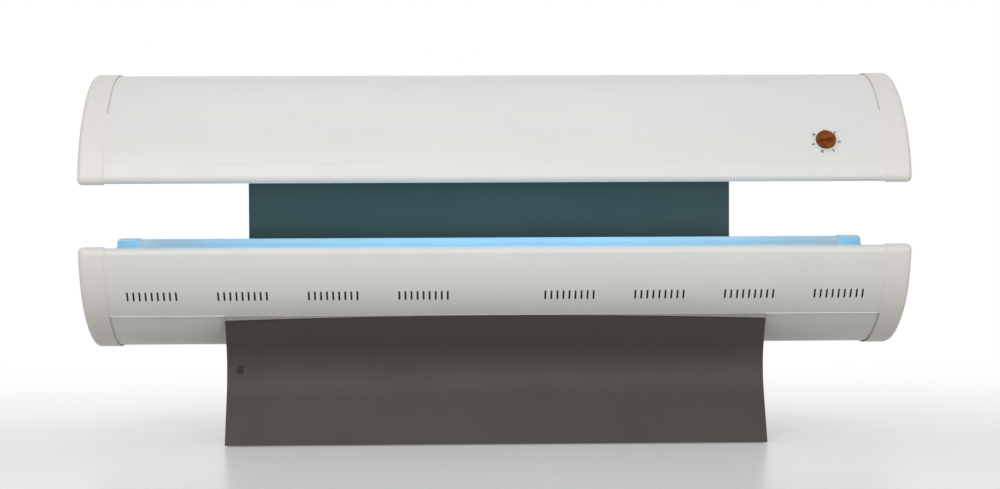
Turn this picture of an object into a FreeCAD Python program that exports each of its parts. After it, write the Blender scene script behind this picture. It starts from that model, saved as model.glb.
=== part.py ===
import FreeCAD, Part
import math
import os

# Clamshell tanning bed, closed. Millimetres, +X along the bed, front towards -Y, +Z up.
# Sections are drawn in (y, h): y across the bed from its mid depth, h away from the lip plane.
# Every node is moved by SHIFT_Y as it is saved, so that the origin is under the middle of the box.

# ---- driving dimensions -----------------------------------------------------------------
LENGTH = 2000.0            # over the end caps
HALF_DEPTH = 350.0         # mid depth to a lip's outer face
BED_LIP_Z = 485.0          # top of the bed's lips above the floor
LIP_GAP = 154.0            # between the two lips when closed

CAP_LENGTH = 60.0
CAP_PROUD = 2.5            # cap stands this far outside the shell
CAP_WALL = 2.3
CAP_ROUND = 11.0           # rounding of a cap's outer end
SHELL_TUCK = 12.0          # length of shell inside each cap

FASCIA_R = 250.0           # radius of the curved fascia
FASCIA_GAUGE = 2.0
SEAM_IN = 95.0             # seam to lip, across
SEAM_H = 169.0             # seam to lip, in height
LIP_R = 14.0
LIP_IN = 28.0              # width of the lip bead
LIP_DROP = 10.0            # height of the lip's return
HEM = 10.0                 # fascia's inward edge at the seam
BEND_R = 3.0               # outer radius of a sheet bend
BEAD_R = 1.6               # rolled bead along each fascia's seam edge
BEAD_PROUD = 1.4
GROOVE_H = 45.0            # fine groove along each front fascia
GROOVE_R = 0.6
PANEL_GAUGE = 1.5
PANEL_RECESS = 4.0         # crown panel inside the fascia at the seam
CROWN_RECESS = 0.8         # crown panel inside the section at mid depth
BED_CROWN = 88.0           # rise of the section from the seams to its middle
CANOPY_CROWN = 101.0

SLOT_W = 4.5
SLOT_L = 29.0
SLOT_PITCH = 14.6
SLOT_COUNT = 9
SLOT_GROUPS = 4            # to each side of the middle
GROUP_FIRST = 176.3        # middle of the first group
SLOT_END = 109.7           # middle of the last group to the end cap
SLOT_H = 119.0             # slot centre from the lip

ACRYLIC_GAUGE = 3.0
DISH_DEPTH = 125.0         # dish of the acrylic at mid depth
DISH_HALF = 326.0          # half width of the dish where it is DISH_EDGE_H deep
DISH_EDGE_H = 12.0
ACRYLIC_HALF = 331.0
LAMP_COUNT = 12
LAMP_R = 19.0
LAMP_GLASS = 0.8
LAMP_PITCH = 44.0
LAMP_GAP = 10.0            # lamp to acrylic
LAMP_END = 22.0            # metal end of a lamp
HOLDER_L = 55.0            # lamp's end to the bulkhead, filled by its holder
HOLDER_IN = 3.0            # holder's side inside the lamp's
PIN_R = 1.2
PIN_L = 7.0
PIN_SPREAD = 6.35
REFLECTOR_GAP = 8.0        # lamp to reflector
REFLECTOR_GAUGE = 1.0
REFLECTOR_HALF = 262.0
WING_Y = 305.0             # outer edge of the reflector's wing
WING_GAP = 1.0             # wing to acrylic
BULKHEAD_IN = 10.0         # bulkhead inboard of the end cap's seam
BULKHEAD_GAUGE = 2.0
RAIL_W = 24.0
RAIL_T = 12.0
RAIL_WALL = 1.8
TRAY_HALF = 118.0
BALLAST = (230.0, 42.0, 24.0)
BALLAST_END = 45.0         # outer ballast to the bulkhead
BALLAST_GAP = 20.0         # between the two outer ballasts
BALLAST_MID = 5.0          # inner ballast to the bed's middle

FAN = 120.0
FAN_T = 25.0
FAN_HOLE = 114.0
FAN_SPINDLE = 4.0
HUB_R = 20.0
FAN_PLATE = 2.3            # struts and hub plate
STRUT_W = 4.5
STRUTS = 3
BLADES = 7
BLADE_T = 2.0
BLADE_ANGLE = 38.0
BLADE_TIP = 1.5            # blade's tip to the housing
INTAKE_W = 2.25            # slots in the panel under each fan
INTAKE_PITCH = 6.75
INTAKE_RIM = 4.5

BASE_HALF = 660.0          # half width of the base's front panel
BASE_GAUGE = 2.0
BASE_FOOT_Y = -286.0       # front panel at the floor
BASE_CLEAR = 3.0           # panels' lower edges above the floor
BASE_RETURN = 20.0
LEG_ANGLE = 28.0           # lower part's lean from upright
LEG_L = 130.0
WAIST_R_LOW = 150.0
WAIST_R_HIGH = 110.0
TOP_ANGLE = 27.0
TOP_L = 86.5
TOP_ARCH = 10.0            # rise of the base panel's top edge
PLUG_R = 7.0
PLUG_STRETCH = 4.3         # middle of each round end from the plug's middle
PLUG_RIM = 1.0             # flange beyond the stem
PLUG_T = 3.0
PLUG_ROUND = 2.2
PLUG_IN = 32.0             # plug to the panel's left edge
PLUG_Z = 180.0

RAIL_IN = 94.0             # rails, saddles, uprights and arms inside the column's end
TUBE_W = 50.0
TUBE_H = 40.0
TUBE_WALL = 3.0
PAD_R = 24.0
PAD_H = 10.0
RAIL_FRONT = -250.0
CROSS_YS = (-170.0, 120.0)
SADDLE_T = 6.0
SADDLE_FRONT = -175.0
SADDLE_REAR = 235.0
SADDLE_HOLE_R = 41.0
SADDLE_HOLES = (0.25, 0.75)

COLUMN_Y = 396.0           # front face of the column's front panel
BASE_LAP = 6.0             # column's end inside the base panel's
COLUMN_GAUGE = 1.5
COLUMN_FLANGE = 46.0       # depth of the front panel's side flanges, which meet the rear panel's
COLUMN_RISE = 39.0         # column's top above the hinge
UPRIGHT = 50.0
UPRIGHT_Y = 462.0
UPRIGHT_DROP = 36.0        # upright's top below the hinge
FRONT_DROP = 4.0           # front panel's top below the upright's
HAT_DROP = 80.0            # upper bracket below the front panel's top
GAP = 0.3                  # sliding and seating clearance
TOUCH = 0.2                # cover on the piece that carries it

HINGE_RISE = 91.0          # hinge above the canopy's lip
PIN_D = 16.0
PIN_HEAD_R = 11.2
PIN_HEAD_T = 2.3
RUNNING = 0.05             # radial clearance of a running fit
BUSH_WALL = 3.0
EAR_T = 5.0
EAR_GAP = 20.0             # between a bracket's two ears
ARM_T = 8.0
ARM_H = 40.0
ARM_EYE_R = 20.0
ARM_SLOT_CLEAR = 3.0
ARM_ROOT = 12.0            # arm's depth where it leaves the rib

SPRING_OUT = 12.0          # gas spring outside the upright's face
SPRING_DROP = 306.0        # lower pivot below the hinge
SPRING_PLATE = 4.0
LEVER_R = 46.0             # spring stud from the hinge
LEVER_DROP = 22.5          # stud's angle below the arm when closed
STUD_R = 5.0
STUD_END = 2.5             # stud beyond the spring's eye
STUD_BOSS = 10.0
EYE_HOLE_R = 8.0           # open upper pivot
EYE_R = 13.0
EYE_T = 8.0
EYE_SINK = 3.0             # barrel's end sunk in its eye
BARREL_R = 12.0
BARREL_L = 175.0
BARREL_WALL = 1.5
BARREL_END = 5.0
ROD_R = 4.5
ROD_IN = 120.0             # rod inside the barrel when closed
PISTON_L = 12.0

KNOB_IN = 144.0            # knob to the end cap's seam
KNOB_H = 98.7
KNOB_R = 24.5
KNOB_L = 19.0
KNOB_SKIRT = 8.5           # height of the knob's round part
KNOB_ROUND = 2.0
GRIP_HALF = 4.5            # half width of the knob's grip
GRIP_TILT = 11.0           # knob's grip, in degrees, at rest
NUB_TILT = 8.0             # pointer at the knob's rim, in degrees from the top
NUB_W = 5.0
NUB_OUT = 1.2              # pointer beyond the knob's rim
BEZEL_R = 27.5
BEZEL_PROUD = 1.0
TIMER_BOX = (62.0, 56.0, 23.0)
TIMER_SHAFT_R = 3.0
TIMER_BOSS_R = 9.0
TIMER_HOLE_R = 6.0

GLAND_Z = 90.0
GLAND_BORE_R = 4.5
GLAND_WALL = 4.5
GLAND_TIP_WALL = 2.7
GLAND_NUT_WALL = 6.3       # bore to the nut's corners
GLAND_NUT_L = 10.0
GLAND_DOME_L = 5.0
GLAND_STEM_L = 15.0
SCREW_R = 4.0
SCREW_HEAD = 2.3
SCREW_ROUND = 1.4
OVER = 1.0                 # cutting tools run past what they cut

# ---- values that follow -----------------------------------------------------------------
HALF_LENGTH = LENGTH / 2.0
SEAM_X = HALF_LENGTH - CAP_LENGTH
SHELL_HALF = SEAM_X + SHELL_TUCK
BULKHEAD_X = SEAM_X - BULKHEAD_IN
LAMP_HALF = BULKHEAD_X - HOLDER_L
GROUP_PITCH = (SEAM_X - SLOT_END - GROUP_FIRST) / (SLOT_GROUPS - 1)
KNOB_X = SEAM_X - KNOB_IN
COLUMN_HALF = BASE_HALF - BASE_LAP
RAIL_X = COLUMN_HALF - RAIL_IN
SPRING_X = RAIL_X + UPRIGHT / 2.0 + SPRING_OUT

OUTER_BALLAST = BULKHEAD_X - BALLAST_END - BALLAST[0] / 2.0
NEXT_BALLAST = OUTER_BALLAST - BALLAST[0] - BALLAST_GAP
INNER_BALLAST = BALLAST_MID + BALLAST[0] / 2.0
FAN_X = (INNER_BALLAST + NEXT_BALLAST) / 2.0

CANOPY_LIP_Z = BED_LIP_Z + LIP_GAP
HINGE_Z = CANOPY_LIP_Z + HINGE_RISE
COLUMN_TOP = HINGE_Z + COLUMN_RISE
UPRIGHT_TOP = HINGE_Z - UPRIGHT_DROP
COLUMN_FRONT_TOP = UPRIGHT_TOP - FRONT_DROP
LOW_PIVOT_Z = HINGE_Z - SPRING_DROP
COLUMN_SPLIT = COLUMN_Y + COLUMN_FLANGE
REAR_FACE = UPRIGHT_Y + UPRIGHT / 2.0 + TOUCH + COLUMN_GAUGE
SHIFT_Y = (HALF_DEPTH + CAP_PROUD - REAR_FACE - SCREW_HEAD) / 2.0
LIP_INNER = HALF_DEPTH - LIP_IN
SEAM_Y = HALF_DEPTH - SEAM_IN

chord = math.hypot(SEAM_IN, SEAM_H)
apothem = math.sqrt(FASCIA_R ** 2 - (chord / 2.0) ** 2)
ARC_Y = SEAM_Y + SEAM_IN / 2.0 - apothem * SEAM_H / chord
ARC_H = SEAM_H / 2.0 - apothem * SEAM_IN / chord
SEAM_ANGLE = math.atan2(SEAM_H - ARC_H, SEAM_Y - ARC_Y)

DISH_SAG = DISH_DEPTH - DISH_EDGE_H
DISH_R = (DISH_HALF ** 2 + DISH_SAG ** 2) / (2.0 * DISH_SAG)
DISH_H = DISH_DEPTH - DISH_R
LAMP_ARC = DISH_R + ACRYLIC_GAUGE + LAMP_GAP + LAMP_R
REFLECTOR_R = LAMP_ARC + LAMP_R + REFLECTOR_GAP
BACK_R = REFLECTOR_R + REFLECTOR_GAUGE
TRAY_H = DISH_H + BACK_R + GAP + BALLAST[2] + GAP

V = FreeCAD.Vector
X_AXIS = V(1, 0, 0)
Y_AXIS = V(0, 1, 0)
Z_AXIS = V(0, 0, 1)


# ---- helpers ----------------------------------------------------------------------------
class Half:
    """The bed or the canopy: where its lip plane is and which way its section goes from it."""

    def __init__(self, name, lip_z, sign, crown):
        self.name = name
        self.lip_z = lip_z
        self.sign = sign
        self.crown_h = SEAM_H + crown

    def at(self, x, y, h):
        return V(x, y, self.lip_z + self.sign * h)


BED = Half("bed", BED_LIP_Z, -1.0, BED_CROWN)
CANOPY = Half("canopy", CANOPY_LIP_Z, 1.0, CANOPY_CROWN)
FLOOR = Half("floor", 0.0, 1.0, 0.0)


def save(name, *solids):
    """Write one node as a compound of its separate solids, moved to the part's origin."""
    moved = []
    for solid in solids:
        copy = solid.copy()
        copy.translate(V(0, SHIFT_Y, 0))
        moved.append(copy)
    shape = moved[0] if len(moved) == 1 else Part.makeCompound(moved)
    shape.exportStep("parts/" + name + ".step")


def box(x0, x1, y0, y1, z0, z1):
    return Part.makeBox(x1 - x0, y1 - y0, z1 - z0, V(x0, y0, z0))


def rod(radius, start, end):
    axis = end - start
    return Part.makeCylinder(radius, axis.Length, start, axis)


def tube(outer, inner, start, end):
    return rod(outer, start, end).cut(rod(inner, start, end))


def both_sides(shape):
    """The shape and its mirror image across the bed's middle."""
    return shape, shape.mirror(V(0, 0, 0), X_AXIS)


def prism(face, length):
    solid = face.extrude(V(length, 0, 0))
    if solid.Volume < 0:
        solid.reverse()
    return solid


def polygon(half, points, x0, x1):
    corners = [half.at(x0, y, h) for y, h in points]
    return prism(Part.Face(Part.makePolygon(corners + corners[:1])), x1 - x0)


def arc_edge(half, x, a, b, c):
    return Part.Arc(half.at(x, *a), half.at(x, *b), half.at(x, *c)).toShape()


def line_edge(half, x, a, b):
    return Part.LineSegment(half.at(x, *a), half.at(x, *b)).toShape()


def track(start, heading, moves):
    """Runs and bends of a sheet's path: each is (points, headings), degrees anticlockwise.

    A move is a length, or a (radius, turn in degrees) pair.
    """
    point = start
    angle = math.radians(heading)
    steps = []
    for move in moves:
        if isinstance(move, tuple):
            radius, turn = move
            swing = math.radians(turn)
            side = math.copysign(1.0, turn)
            cy = point[0] - side * radius * math.sin(angle)
            ch = point[1] + side * radius * math.cos(angle)
            stops = []
            for share in (0.5, 1.0):
                way = angle + swing * share
                stop = (cy + side * radius * math.sin(way), ch - side * radius * math.cos(way))
                stops.append((stop, way))
            steps.append([(point, angle)] + stops)
            point, angle = stops[-1]
        else:
            end = (point[0] + move * math.cos(angle), point[1] + move * math.sin(angle))
            steps.append([(point, angle), (end, angle)])
            point = end
    return steps


def track_edges(half, x, steps, offset):
    """Edges of a path moved to its left by offset."""
    edges = []
    for step in steps:
        points = [(p[0] - offset * math.sin(a), p[1] + offset * math.cos(a)) for p, a in step]
        if len(points) == 3:
            edges.append(arc_edge(half, x, *points))
        else:
            edges.append(line_edge(half, x, *points))
    return edges


def bent_sheet(half, x0, x1, start, heading, moves, gauge):
    """A folded sheet whose path is one of its faces, gauge thick to the path's left."""
    steps = track(start, heading, moves)
    near = track_edges(half, x0, steps, 0.0)
    far = track_edges(half, x0, steps, gauge)
    first = Part.LineSegment(near[0].firstVertex().Point, far[0].firstVertex().Point).toShape()
    last = Part.LineSegment(near[-1].lastVertex().Point, far[-1].lastVertex().Point).toShape()
    wire = Part.Wire(Part.__sortEdges__(near + [last] + far + [first]))
    return prism(Part.Face(wire), x1 - x0)


def fascia_y(h, inset=0.0):
    """Half width of the section at height h from the lip, on the fascia's arc."""
    return ARC_Y + math.sqrt((FASCIA_R - inset) ** 2 - (h - ARC_H) ** 2)


def seam_point(inset, along=0.0):
    """Point by the seam: inset along the fascia's radius, and along towards mid depth."""
    radius = FASCIA_R - inset
    y = ARC_Y + radius * math.cos(SEAM_ANGLE) - along * math.sin(SEAM_ANGLE)
    h = ARC_H + radius * math.sin(SEAM_ANGLE) + along * math.cos(SEAM_ANGLE)
    return y, h


def slab(half, inset, x0, x1):
    """Solid section of a half, closed flat at its lips, its outline moved in by inset."""
    radius = FASCIA_R - inset
    lip_r = LIP_R - inset
    lip_y = fascia_y(LIP_R, LIP_R)
    reach = FASCIA_R - LIP_R
    tangent = (ARC_Y + (lip_y - ARC_Y) * radius / reach, ARC_H + (LIP_R - ARC_H) * radius / reach)
    start = math.atan2(tangent[1] - LIP_R, tangent[0] - lip_y)
    sweep = (start - math.pi / 2.0) / 2.0
    lip_mid = (lip_y + lip_r * math.cos(sweep), LIP_R + lip_r * math.sin(sweep))
    seam = seam_point(inset)
    half_way = (math.atan2(tangent[1] - ARC_H, tangent[0] - ARC_Y) + SEAM_ANGLE) / 2.0
    arc_mid = (ARC_Y + radius * math.cos(half_way), ARC_H + radius * math.sin(half_way))
    edges = []
    for side in (1.0, -1.0):
        def put(point):
            return side * point[0], point[1]
        edges.append(arc_edge(half, x0, put((lip_y, inset)), put(lip_mid), put(tangent)))
        edges.append(arc_edge(half, x0, put(tangent), put(arc_mid), put(seam)))
    mirrored = (-seam[0], seam[1])
    edges.append(arc_edge(half, x0, seam, (0.0, half.crown_h - inset), mirrored))
    edges.append(line_edge(half, x0, (lip_y, inset), (-lip_y, inset)))
    return prism(Part.Face(Part.Wire(Part.__sortEdges__(edges))), x1 - x0)


def dish(half, radius, x0, x1):
    """Round solid about the dish's centre line."""
    return rod(radius, half.at(x0, 0, DISH_H), half.at(x1, 0, DISH_H))


def band(half, centre_h, r0, r1, angle0, angle1, x0, x1):
    """Curved strip between two radii; angles in radians from straight away from the lips."""
    middle = (angle0 + angle1) / 2.0

    def on(radius, angle):
        return radius * math.sin(angle), centre_h + radius * math.cos(angle)
    edges = [
        arc_edge(half, x0, on(r0, angle0), on(r0, middle), on(r0, angle1)),
        line_edge(half, x0, on(r0, angle1), on(r1, angle1)),
        arc_edge(half, x0, on(r1, angle1), on(r1, middle), on(r1, angle0)),
        line_edge(half, x0, on(r1, angle0), on(r0, angle0)),
    ]
    return prism(Part.Face(Part.Wire(edges)), x1 - x0)


# ---- pieces that the bed and the canopy share -------------------------------------------
def fascia(half, front):
    """Curved sheet from the hem at the seam, round the lip bead, to the lip's return."""
    lip_y = fascia_y(LIP_R, LIP_R)
    lip_angle = math.atan2(LIP_R - ARC_H, lip_y - ARC_Y)
    seam = math.degrees(SEAM_ANGLE)
    start = seam_point(BEND_R + HEM, BEND_R)
    lip_turn = 90.0 + math.degrees(lip_angle)
    flat = lip_y - LIP_INNER - BEND_R
    moves = [HEM, (BEND_R, -90.0), (FASCIA_R, math.degrees(lip_angle) - seam),
             (LIP_R, -lip_turn), flat, (BEND_R, -90.0), LIP_DROP]
    sheet = bent_sheet(half, -SHELL_HALF, SHELL_HALF, start, seam, moves, -FASCIA_GAUGE)
    sheet = sheet.fuse(bead(half, 0.0))
    return sheet.mirror(V(0, 0, 0), Y_AXIS) if front else sheet


def bead(half, grown):
    """Rolled bead along the rear seam, between the end caps, its radius grown for a clearance."""
    reach = SEAM_X - GAP
    y, h = seam_point(BEAD_R - BEAD_PROUD)
    return rod(BEAD_R + grown, half.at(-reach, y, h), half.at(reach, y, h))


def surface_frame(half, x, h):
    """Point on the front fascia and its outward normal."""
    point = half.at(x, -fascia_y(h), h)
    centre = half.at(x, -ARC_Y, ARC_H)
    normal = point - centre
    normal.normalize()
    return point, normal


def facing(shape, point, normal):
    """Move a shape made at the origin, +Z outwards and +X along the bed, onto a point."""
    placed = shape.copy()
    turn = FreeCAD.Rotation(X_AXIS, normal.cross(X_AXIS), normal, "ZXY")
    placed.Placement = FreeCAD.Placement(point, turn).multiply(placed.Placement)
    return placed


def groove(half):
    point = half.at(-HALF_LENGTH, -fascia_y(GROOVE_H), GROOVE_H)
    return rod(GROOVE_R, point, point + V(LENGTH, 0, 0))


def crown_circle(half):
    """Outer radius, centre height and half angle of the crown panel."""
    edge = seam_point(PANEL_RECESS, BEND_R + GAP)
    rise = half.crown_h - CROWN_RECESS - edge[1]
    radius = (edge[0] ** 2 + rise ** 2) / (2.0 * rise)
    return radius, half.crown_h - CROWN_RECESS - radius, math.asin(edge[0] / radius)


def crown_rod(half, radius):
    """Round solid about the crown panel's centre line, as long as the bed."""
    centre = crown_circle(half)[1]
    return rod(radius, half.at(-HALF_LENGTH, 0, centre), half.at(HALF_LENGTH, 0, centre))


def beyond_seams(half, reach):
    """Block that holds all of a half beyond its seams, out to reach across."""
    points = [(-reach, SEAM_H), (reach, SEAM_H), (reach, SEAM_H * 2.0), (-reach, SEAM_H * 2.0)]
    return polygon(half, points, -HALF_LENGTH, HALF_LENGTH)


def crown_panel(half):
    """Curved sheet between the two hems, set in from the fascia."""
    radius, centre, angle = crown_circle(half)
    return band(half, centre, radius, radius - PANEL_GAUGE, -angle, angle, -SHELL_HALF, SHELL_HALF)


def end_rounded(shape, radius):
    """The shape with its outline at its +X end rounded off."""
    end = shape.BoundBox.XMax - GAP
    rim = [edge for edge in shape.Edges if all(v.X > end for v in edge.Vertexes)]
    return shape.makeFillet(radius, rim)


def end_cap(half):
    """Moulded cap at +X: outer wall, end wall and dished inner wall, open inboard."""
    outer = end_rounded(slab(half, -CAP_PROUD, SEAM_X, HALF_LENGTH), CAP_ROUND)
    reach = LIP_INNER - CAP_PROUD
    start = SEAM_X - OVER
    gate = box(start, HALF_LENGTH + OVER, -reach, reach, 0, CANOPY_LIP_Z * 2.0)
    outer = outer.cut(dish(half, DISH_R - CAP_PROUD, start, HALF_LENGTH + OVER).common(gate))
    reach = LIP_INNER - TOUCH
    inner_gate = box(start - OVER, HALF_LENGTH, -reach, reach, 0, CANOPY_LIP_Z * 2.0)
    hollow = end_rounded(slab(half, -TOUCH, start, HALF_LENGTH - CAP_WALL), CAP_ROUND - CAP_WALL)
    hollow = hollow.cut(dish(half, DISH_R + TOUCH, start - OVER, HALF_LENGTH).common(inner_gate))
    cap = outer.cut(hollow)
    return max(cap.Solids, key=lambda s: s.Volume)


def section_plate(half, x0, x1, dish_r):
    """Plate across a half that fills it from a dish radius to the shell, notched at the hems."""
    plate = slab(half, FASCIA_GAUGE + GAP, x0, x1)
    plate = plate.cut(dish(half, dish_r, 0, HALF_LENGTH))
    notch_r = HEM + 2.0 * BEND_R
    for side in (-1.0, 1.0):
        seam = half.at(0, side * SEAM_Y, SEAM_H)
        plate = plate.cut(rod(notch_r, seam, seam + V(HALF_LENGTH, 0, 0)))
    inside = crown_circle(half)[0] - PANEL_GAUGE - GAP
    plate = plate.cut(beyond_seams(half, SEAM_Y).cut(crown_rod(half, inside)))
    return max(plate.Solids, key=lambda s: s.Volume)


def bulkhead(half):
    """Steel end plate of a half at +X."""
    return section_plate(half, BULKHEAD_X, BULKHEAD_X + BULKHEAD_GAUGE, DISH_R + ACRYLIC_GAUGE + GAP)


def acrylic(half):
    angle = math.asin(ACRYLIC_HALF / DISH_R)
    reach = SEAM_X - GAP
    return band(half, DISH_H, DISH_R, DISH_R + ACRYLIC_GAUGE, -angle, angle, -reach, reach)


def lip_rail(half):
    """Box section behind the acrylic's rear edge, from bulkhead to bulkhead."""
    inner = DISH_R + ACRYLIC_GAUGE + GAP
    outer_angle = math.asin(ACRYLIC_HALF / DISH_R)
    inner_angle = outer_angle - RAIL_W / DISH_R
    wall = RAIL_WALL / DISH_R
    solid = band(half, DISH_H, inner, inner + RAIL_T, inner_angle, outer_angle, -BULKHEAD_X, BULKHEAD_X)
    hollow = band(half, DISH_H, inner + RAIL_WALL, inner + RAIL_T - RAIL_WALL, inner_angle + wall,
                  outer_angle - wall, -BULKHEAD_X, BULKHEAD_X)
    return solid.cut(hollow)


def reflector(half):
    """Curved sheet behind the lamps with a flat wing out to each lip rail."""
    angle = math.asin(REFLECTOR_HALF / REFLECTOR_R)
    sheet = band(half, DISH_H, REFLECTOR_R, BACK_R, -angle, angle, -BULKHEAD_X, BULKHEAD_X)
    near = (REFLECTOR_R * math.sin(angle), DISH_H + REFLECTOR_R * math.cos(angle))
    rim = (WING_Y, DISH_H + math.sqrt((DISH_R + ACRYLIC_GAUGE) ** 2 - WING_Y ** 2) + WING_GAP)
    turn = math.atan2(near[1] - rim[1], rim[0] - near[0])
    across = (REFLECTOR_GAUGE * math.sin(turn), REFLECTOR_GAUGE * math.cos(turn))
    corner = (BACK_R * math.sin(angle), DISH_H + BACK_R * math.cos(angle))
    wing = polygon(half, [near, rim, (rim[0] + across[0], rim[1] + across[1]),
                          (near[0] + across[0], near[1] + across[1]), corner], -BULKHEAD_X, BULKHEAD_X)
    return sheet.fuse(wing).fuse(wing.mirror(V(0, 0, 0), Y_AXIS)).removeSplitter()


def lamp_angles():
    first = -(LAMP_COUNT - 1) / 2.0
    return [(first + i) * LAMP_PITCH / LAMP_ARC for i in range(LAMP_COUNT)]


def lamp_point(half, x, angle, radius=LAMP_ARC, aside=0.0):
    y = radius * math.sin(angle) + aside * math.cos(angle)
    return half.at(x, y, DISH_H + radius * math.cos(angle) - aside * math.sin(angle))


def lamp_tubes(half):
    reach = LAMP_HALF - LAMP_END
    return [tube(LAMP_R, LAMP_R - LAMP_GLASS, lamp_point(half, -reach, a), lamp_point(half, reach, a))
            for a in lamp_angles()]


def lamp_end(half, angle):
    """Metal end of a lamp at +X with its two contact pins."""
    inner = lamp_point(half, LAMP_HALF - LAMP_END, angle)
    outer = lamp_point(half, LAMP_HALF, angle)
    end = rod(LAMP_R, inner, outer)
    for side in (-PIN_SPREAD, PIN_SPREAD):
        foot = lamp_point(half, LAMP_HALF, angle, aside=side)
        end = end.fuse(rod(PIN_R, foot, foot + V(PIN_L, 0, 0)))
    return end


def lampholder(half, angle):
    """Block between a lamp's end and the bulkhead, bored for the pins."""
    half_w = LAMP_R - HOLDER_IN
    radius = LAMP_ARC - half_w
    corners = [lamp_point(half, LAMP_HALF + GAP, angle, radius + r, a)
               for r, a in ((0, -half_w), (0, half_w), (2 * half_w, half_w), (2 * half_w, -half_w))]
    block = prism(Part.Face(Part.makePolygon(corners + corners[:1])), BULKHEAD_X - LAMP_HALF - GAP)
    for side in (-PIN_SPREAD, PIN_SPREAD):
        foot = lamp_point(half, LAMP_HALF, angle, aside=side)
        block = block.cut(rod(PIN_R + GAP, foot, foot + V(PIN_L + GAP, 0, 0)))
    return block


def gear_tray(half):
    """Flat sheet behind the reflector that carries the ballasts."""
    points = [(-TRAY_HALF, TRAY_H), (TRAY_HALF, TRAY_H), (TRAY_HALF, TRAY_H + PANEL_GAUGE),
              (-TRAY_HALF, TRAY_H + PANEL_GAUGE)]
    return polygon(half, points, -BULKHEAD_X, BULKHEAD_X)


def ballasts(half):
    """Row of lamp ballasts on the tray, on the side towards the reflector."""
    length, width, height = BALLAST
    solids = []
    row = (INNER_BALLAST, NEXT_BALLAST, OUTER_BALLAST)
    for middle in [side * x for side in (-1, 1) for x in row]:
        x = middle - length / 2.0
        points = [(-width / 2.0, TRAY_H - height), (width / 2.0, TRAY_H - height),
                  (width / 2.0, TRAY_H), (-width / 2.0, TRAY_H)]
        solids.append(polygon(half, points, x, x + length))
    return solids


def save_half(half):
    """Nodes that the bed and the canopy have alike."""
    name = half.name
    save(name + "_rear_fascia", rear_fascia(half))
    save(name + "_end_cap_right", end_cap(half))
    save(name + "_end_cap_left", both_sides(end_cap(half))[1])
    save(name + "_bulkheads", *both_sides(bulkhead(half)))
    save(name + "_acrylic", acrylic(half))
    rail = lip_rail(half)
    save(name + "_lip_rails", rail, rail.mirror(V(0, 0, 0), Y_AXIS))
    save(name + "_reflector", reflector(half))
    save(name + "_lamp_tubes", *lamp_tubes(half))
    ends = []
    holders = []
    for angle in lamp_angles():
        ends.extend(both_sides(lamp_end(half, angle)))
        holders.extend(both_sides(lampholder(half, angle)))
    save(name + "_lamp_ends", *ends)
    save(name + "_lampholders", *holders)
    save(name + "_ballasts", *ballasts(half))


# ---- bed --------------------------------------------------------------------------------
def vent_slots():
    """Cutting tools for the bed fascia's vent slots, square to its surface."""
    tools = []
    point, normal = surface_frame(BED, 0.0, SLOT_H)
    end = (SLOT_L - SLOT_W) / 2.0
    deep = FASCIA_GAUGE * 2.0
    blank = box(-SLOT_W / 2.0, SLOT_W / 2.0, -end, end, -deep, deep)
    for y in (-end, end):
        blank = blank.fuse(rod(SLOT_W / 2.0, V(0, y, -deep), V(0, y, deep)))
    blank = facing(blank.removeSplitter(), point, normal)
    for side in (-1, 1):
        for group in range(SLOT_GROUPS):
            middle = side * (GROUP_FIRST + group * GROUP_PITCH)
            for i in range(SLOT_COUNT):
                slot = blank.copy()
                slot.translate(V(middle + (i - (SLOT_COUNT - 1) / 2.0) * SLOT_PITCH, 0, 0))
                tools.append(slot)
    return tools


def rear_fascia(half):
    """Plain rear fascia; the canopy's has a slot for each hinge arm."""
    sheet = fascia(half, False)
    if half is CANOPY:
        clear = ARM_H / 2.0 + ARM_SLOT_CLEAR
        for x in (-RAIL_X, RAIL_X):
            width = ARM_T / 2.0 + ARM_SLOT_CLEAR
            sheet = sheet.cut(box(x - width, x + width, LIP_INNER - LIP_IN * 2.0, HALF_DEPTH,
                                  HINGE_Z - clear, HINGE_Z + clear))
    return sheet


def fan_hole(x, z0, z1):
    return rod(FAN_HOLE / 2.0, V(x, 0, z0), V(x, 0, z1))


def intake_slots(x):
    """Slots through the crown panel under one fan."""
    reach = FAN_HOLE / 2.0 - INTAKE_RIM
    count = int(reach / INTAKE_PITCH)
    top = BED_LIP_Z - SEAM_H
    tools = []
    for i in range(-count, count + 1):
        y = i * INTAKE_PITCH
        end = math.sqrt(reach ** 2 - y ** 2)
        tools.append(box(x - end, x + end, y - INTAKE_W / 2.0, y + INTAKE_W / 2.0, 0, top))
    return tools


FAN_TOP = BED_LIP_Z - TRAY_H - PANEL_GAUGE
FAN_LOW = FAN_TOP - FAN_T


def fan_frame(x):
    """Square fan housing with its struts, a hub plate and the rotor's spindle."""
    half = FAN / 2.0
    frame = box(x - half, x + half, -half, half, FAN_LOW, FAN_TOP)
    frame = frame.cut(fan_hole(x, FAN_LOW, FAN_TOP))
    plate_top = FAN_LOW + FAN_PLATE
    frame = frame.fuse(rod(HUB_R, V(x, 0, FAN_LOW), V(x, 0, plate_top)))
    for i in range(STRUTS):
        strut = box(0, half - STRUT_W / 2.0, -STRUT_W / 2.0, STRUT_W / 2.0, FAN_LOW, plate_top)
        strut.rotate(V(0, 0, 0), Z_AXIS, 360.0 * i / STRUTS)
        strut.translate(V(x, 0, 0))
        frame = frame.fuse(strut)
    spindle = rod(FAN_SPINDLE / 2.0, V(x, 0, FAN_LOW), V(x, 0, FAN_TOP - FAN_PLATE))
    return frame.fuse(spindle).removeSplitter()


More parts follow.
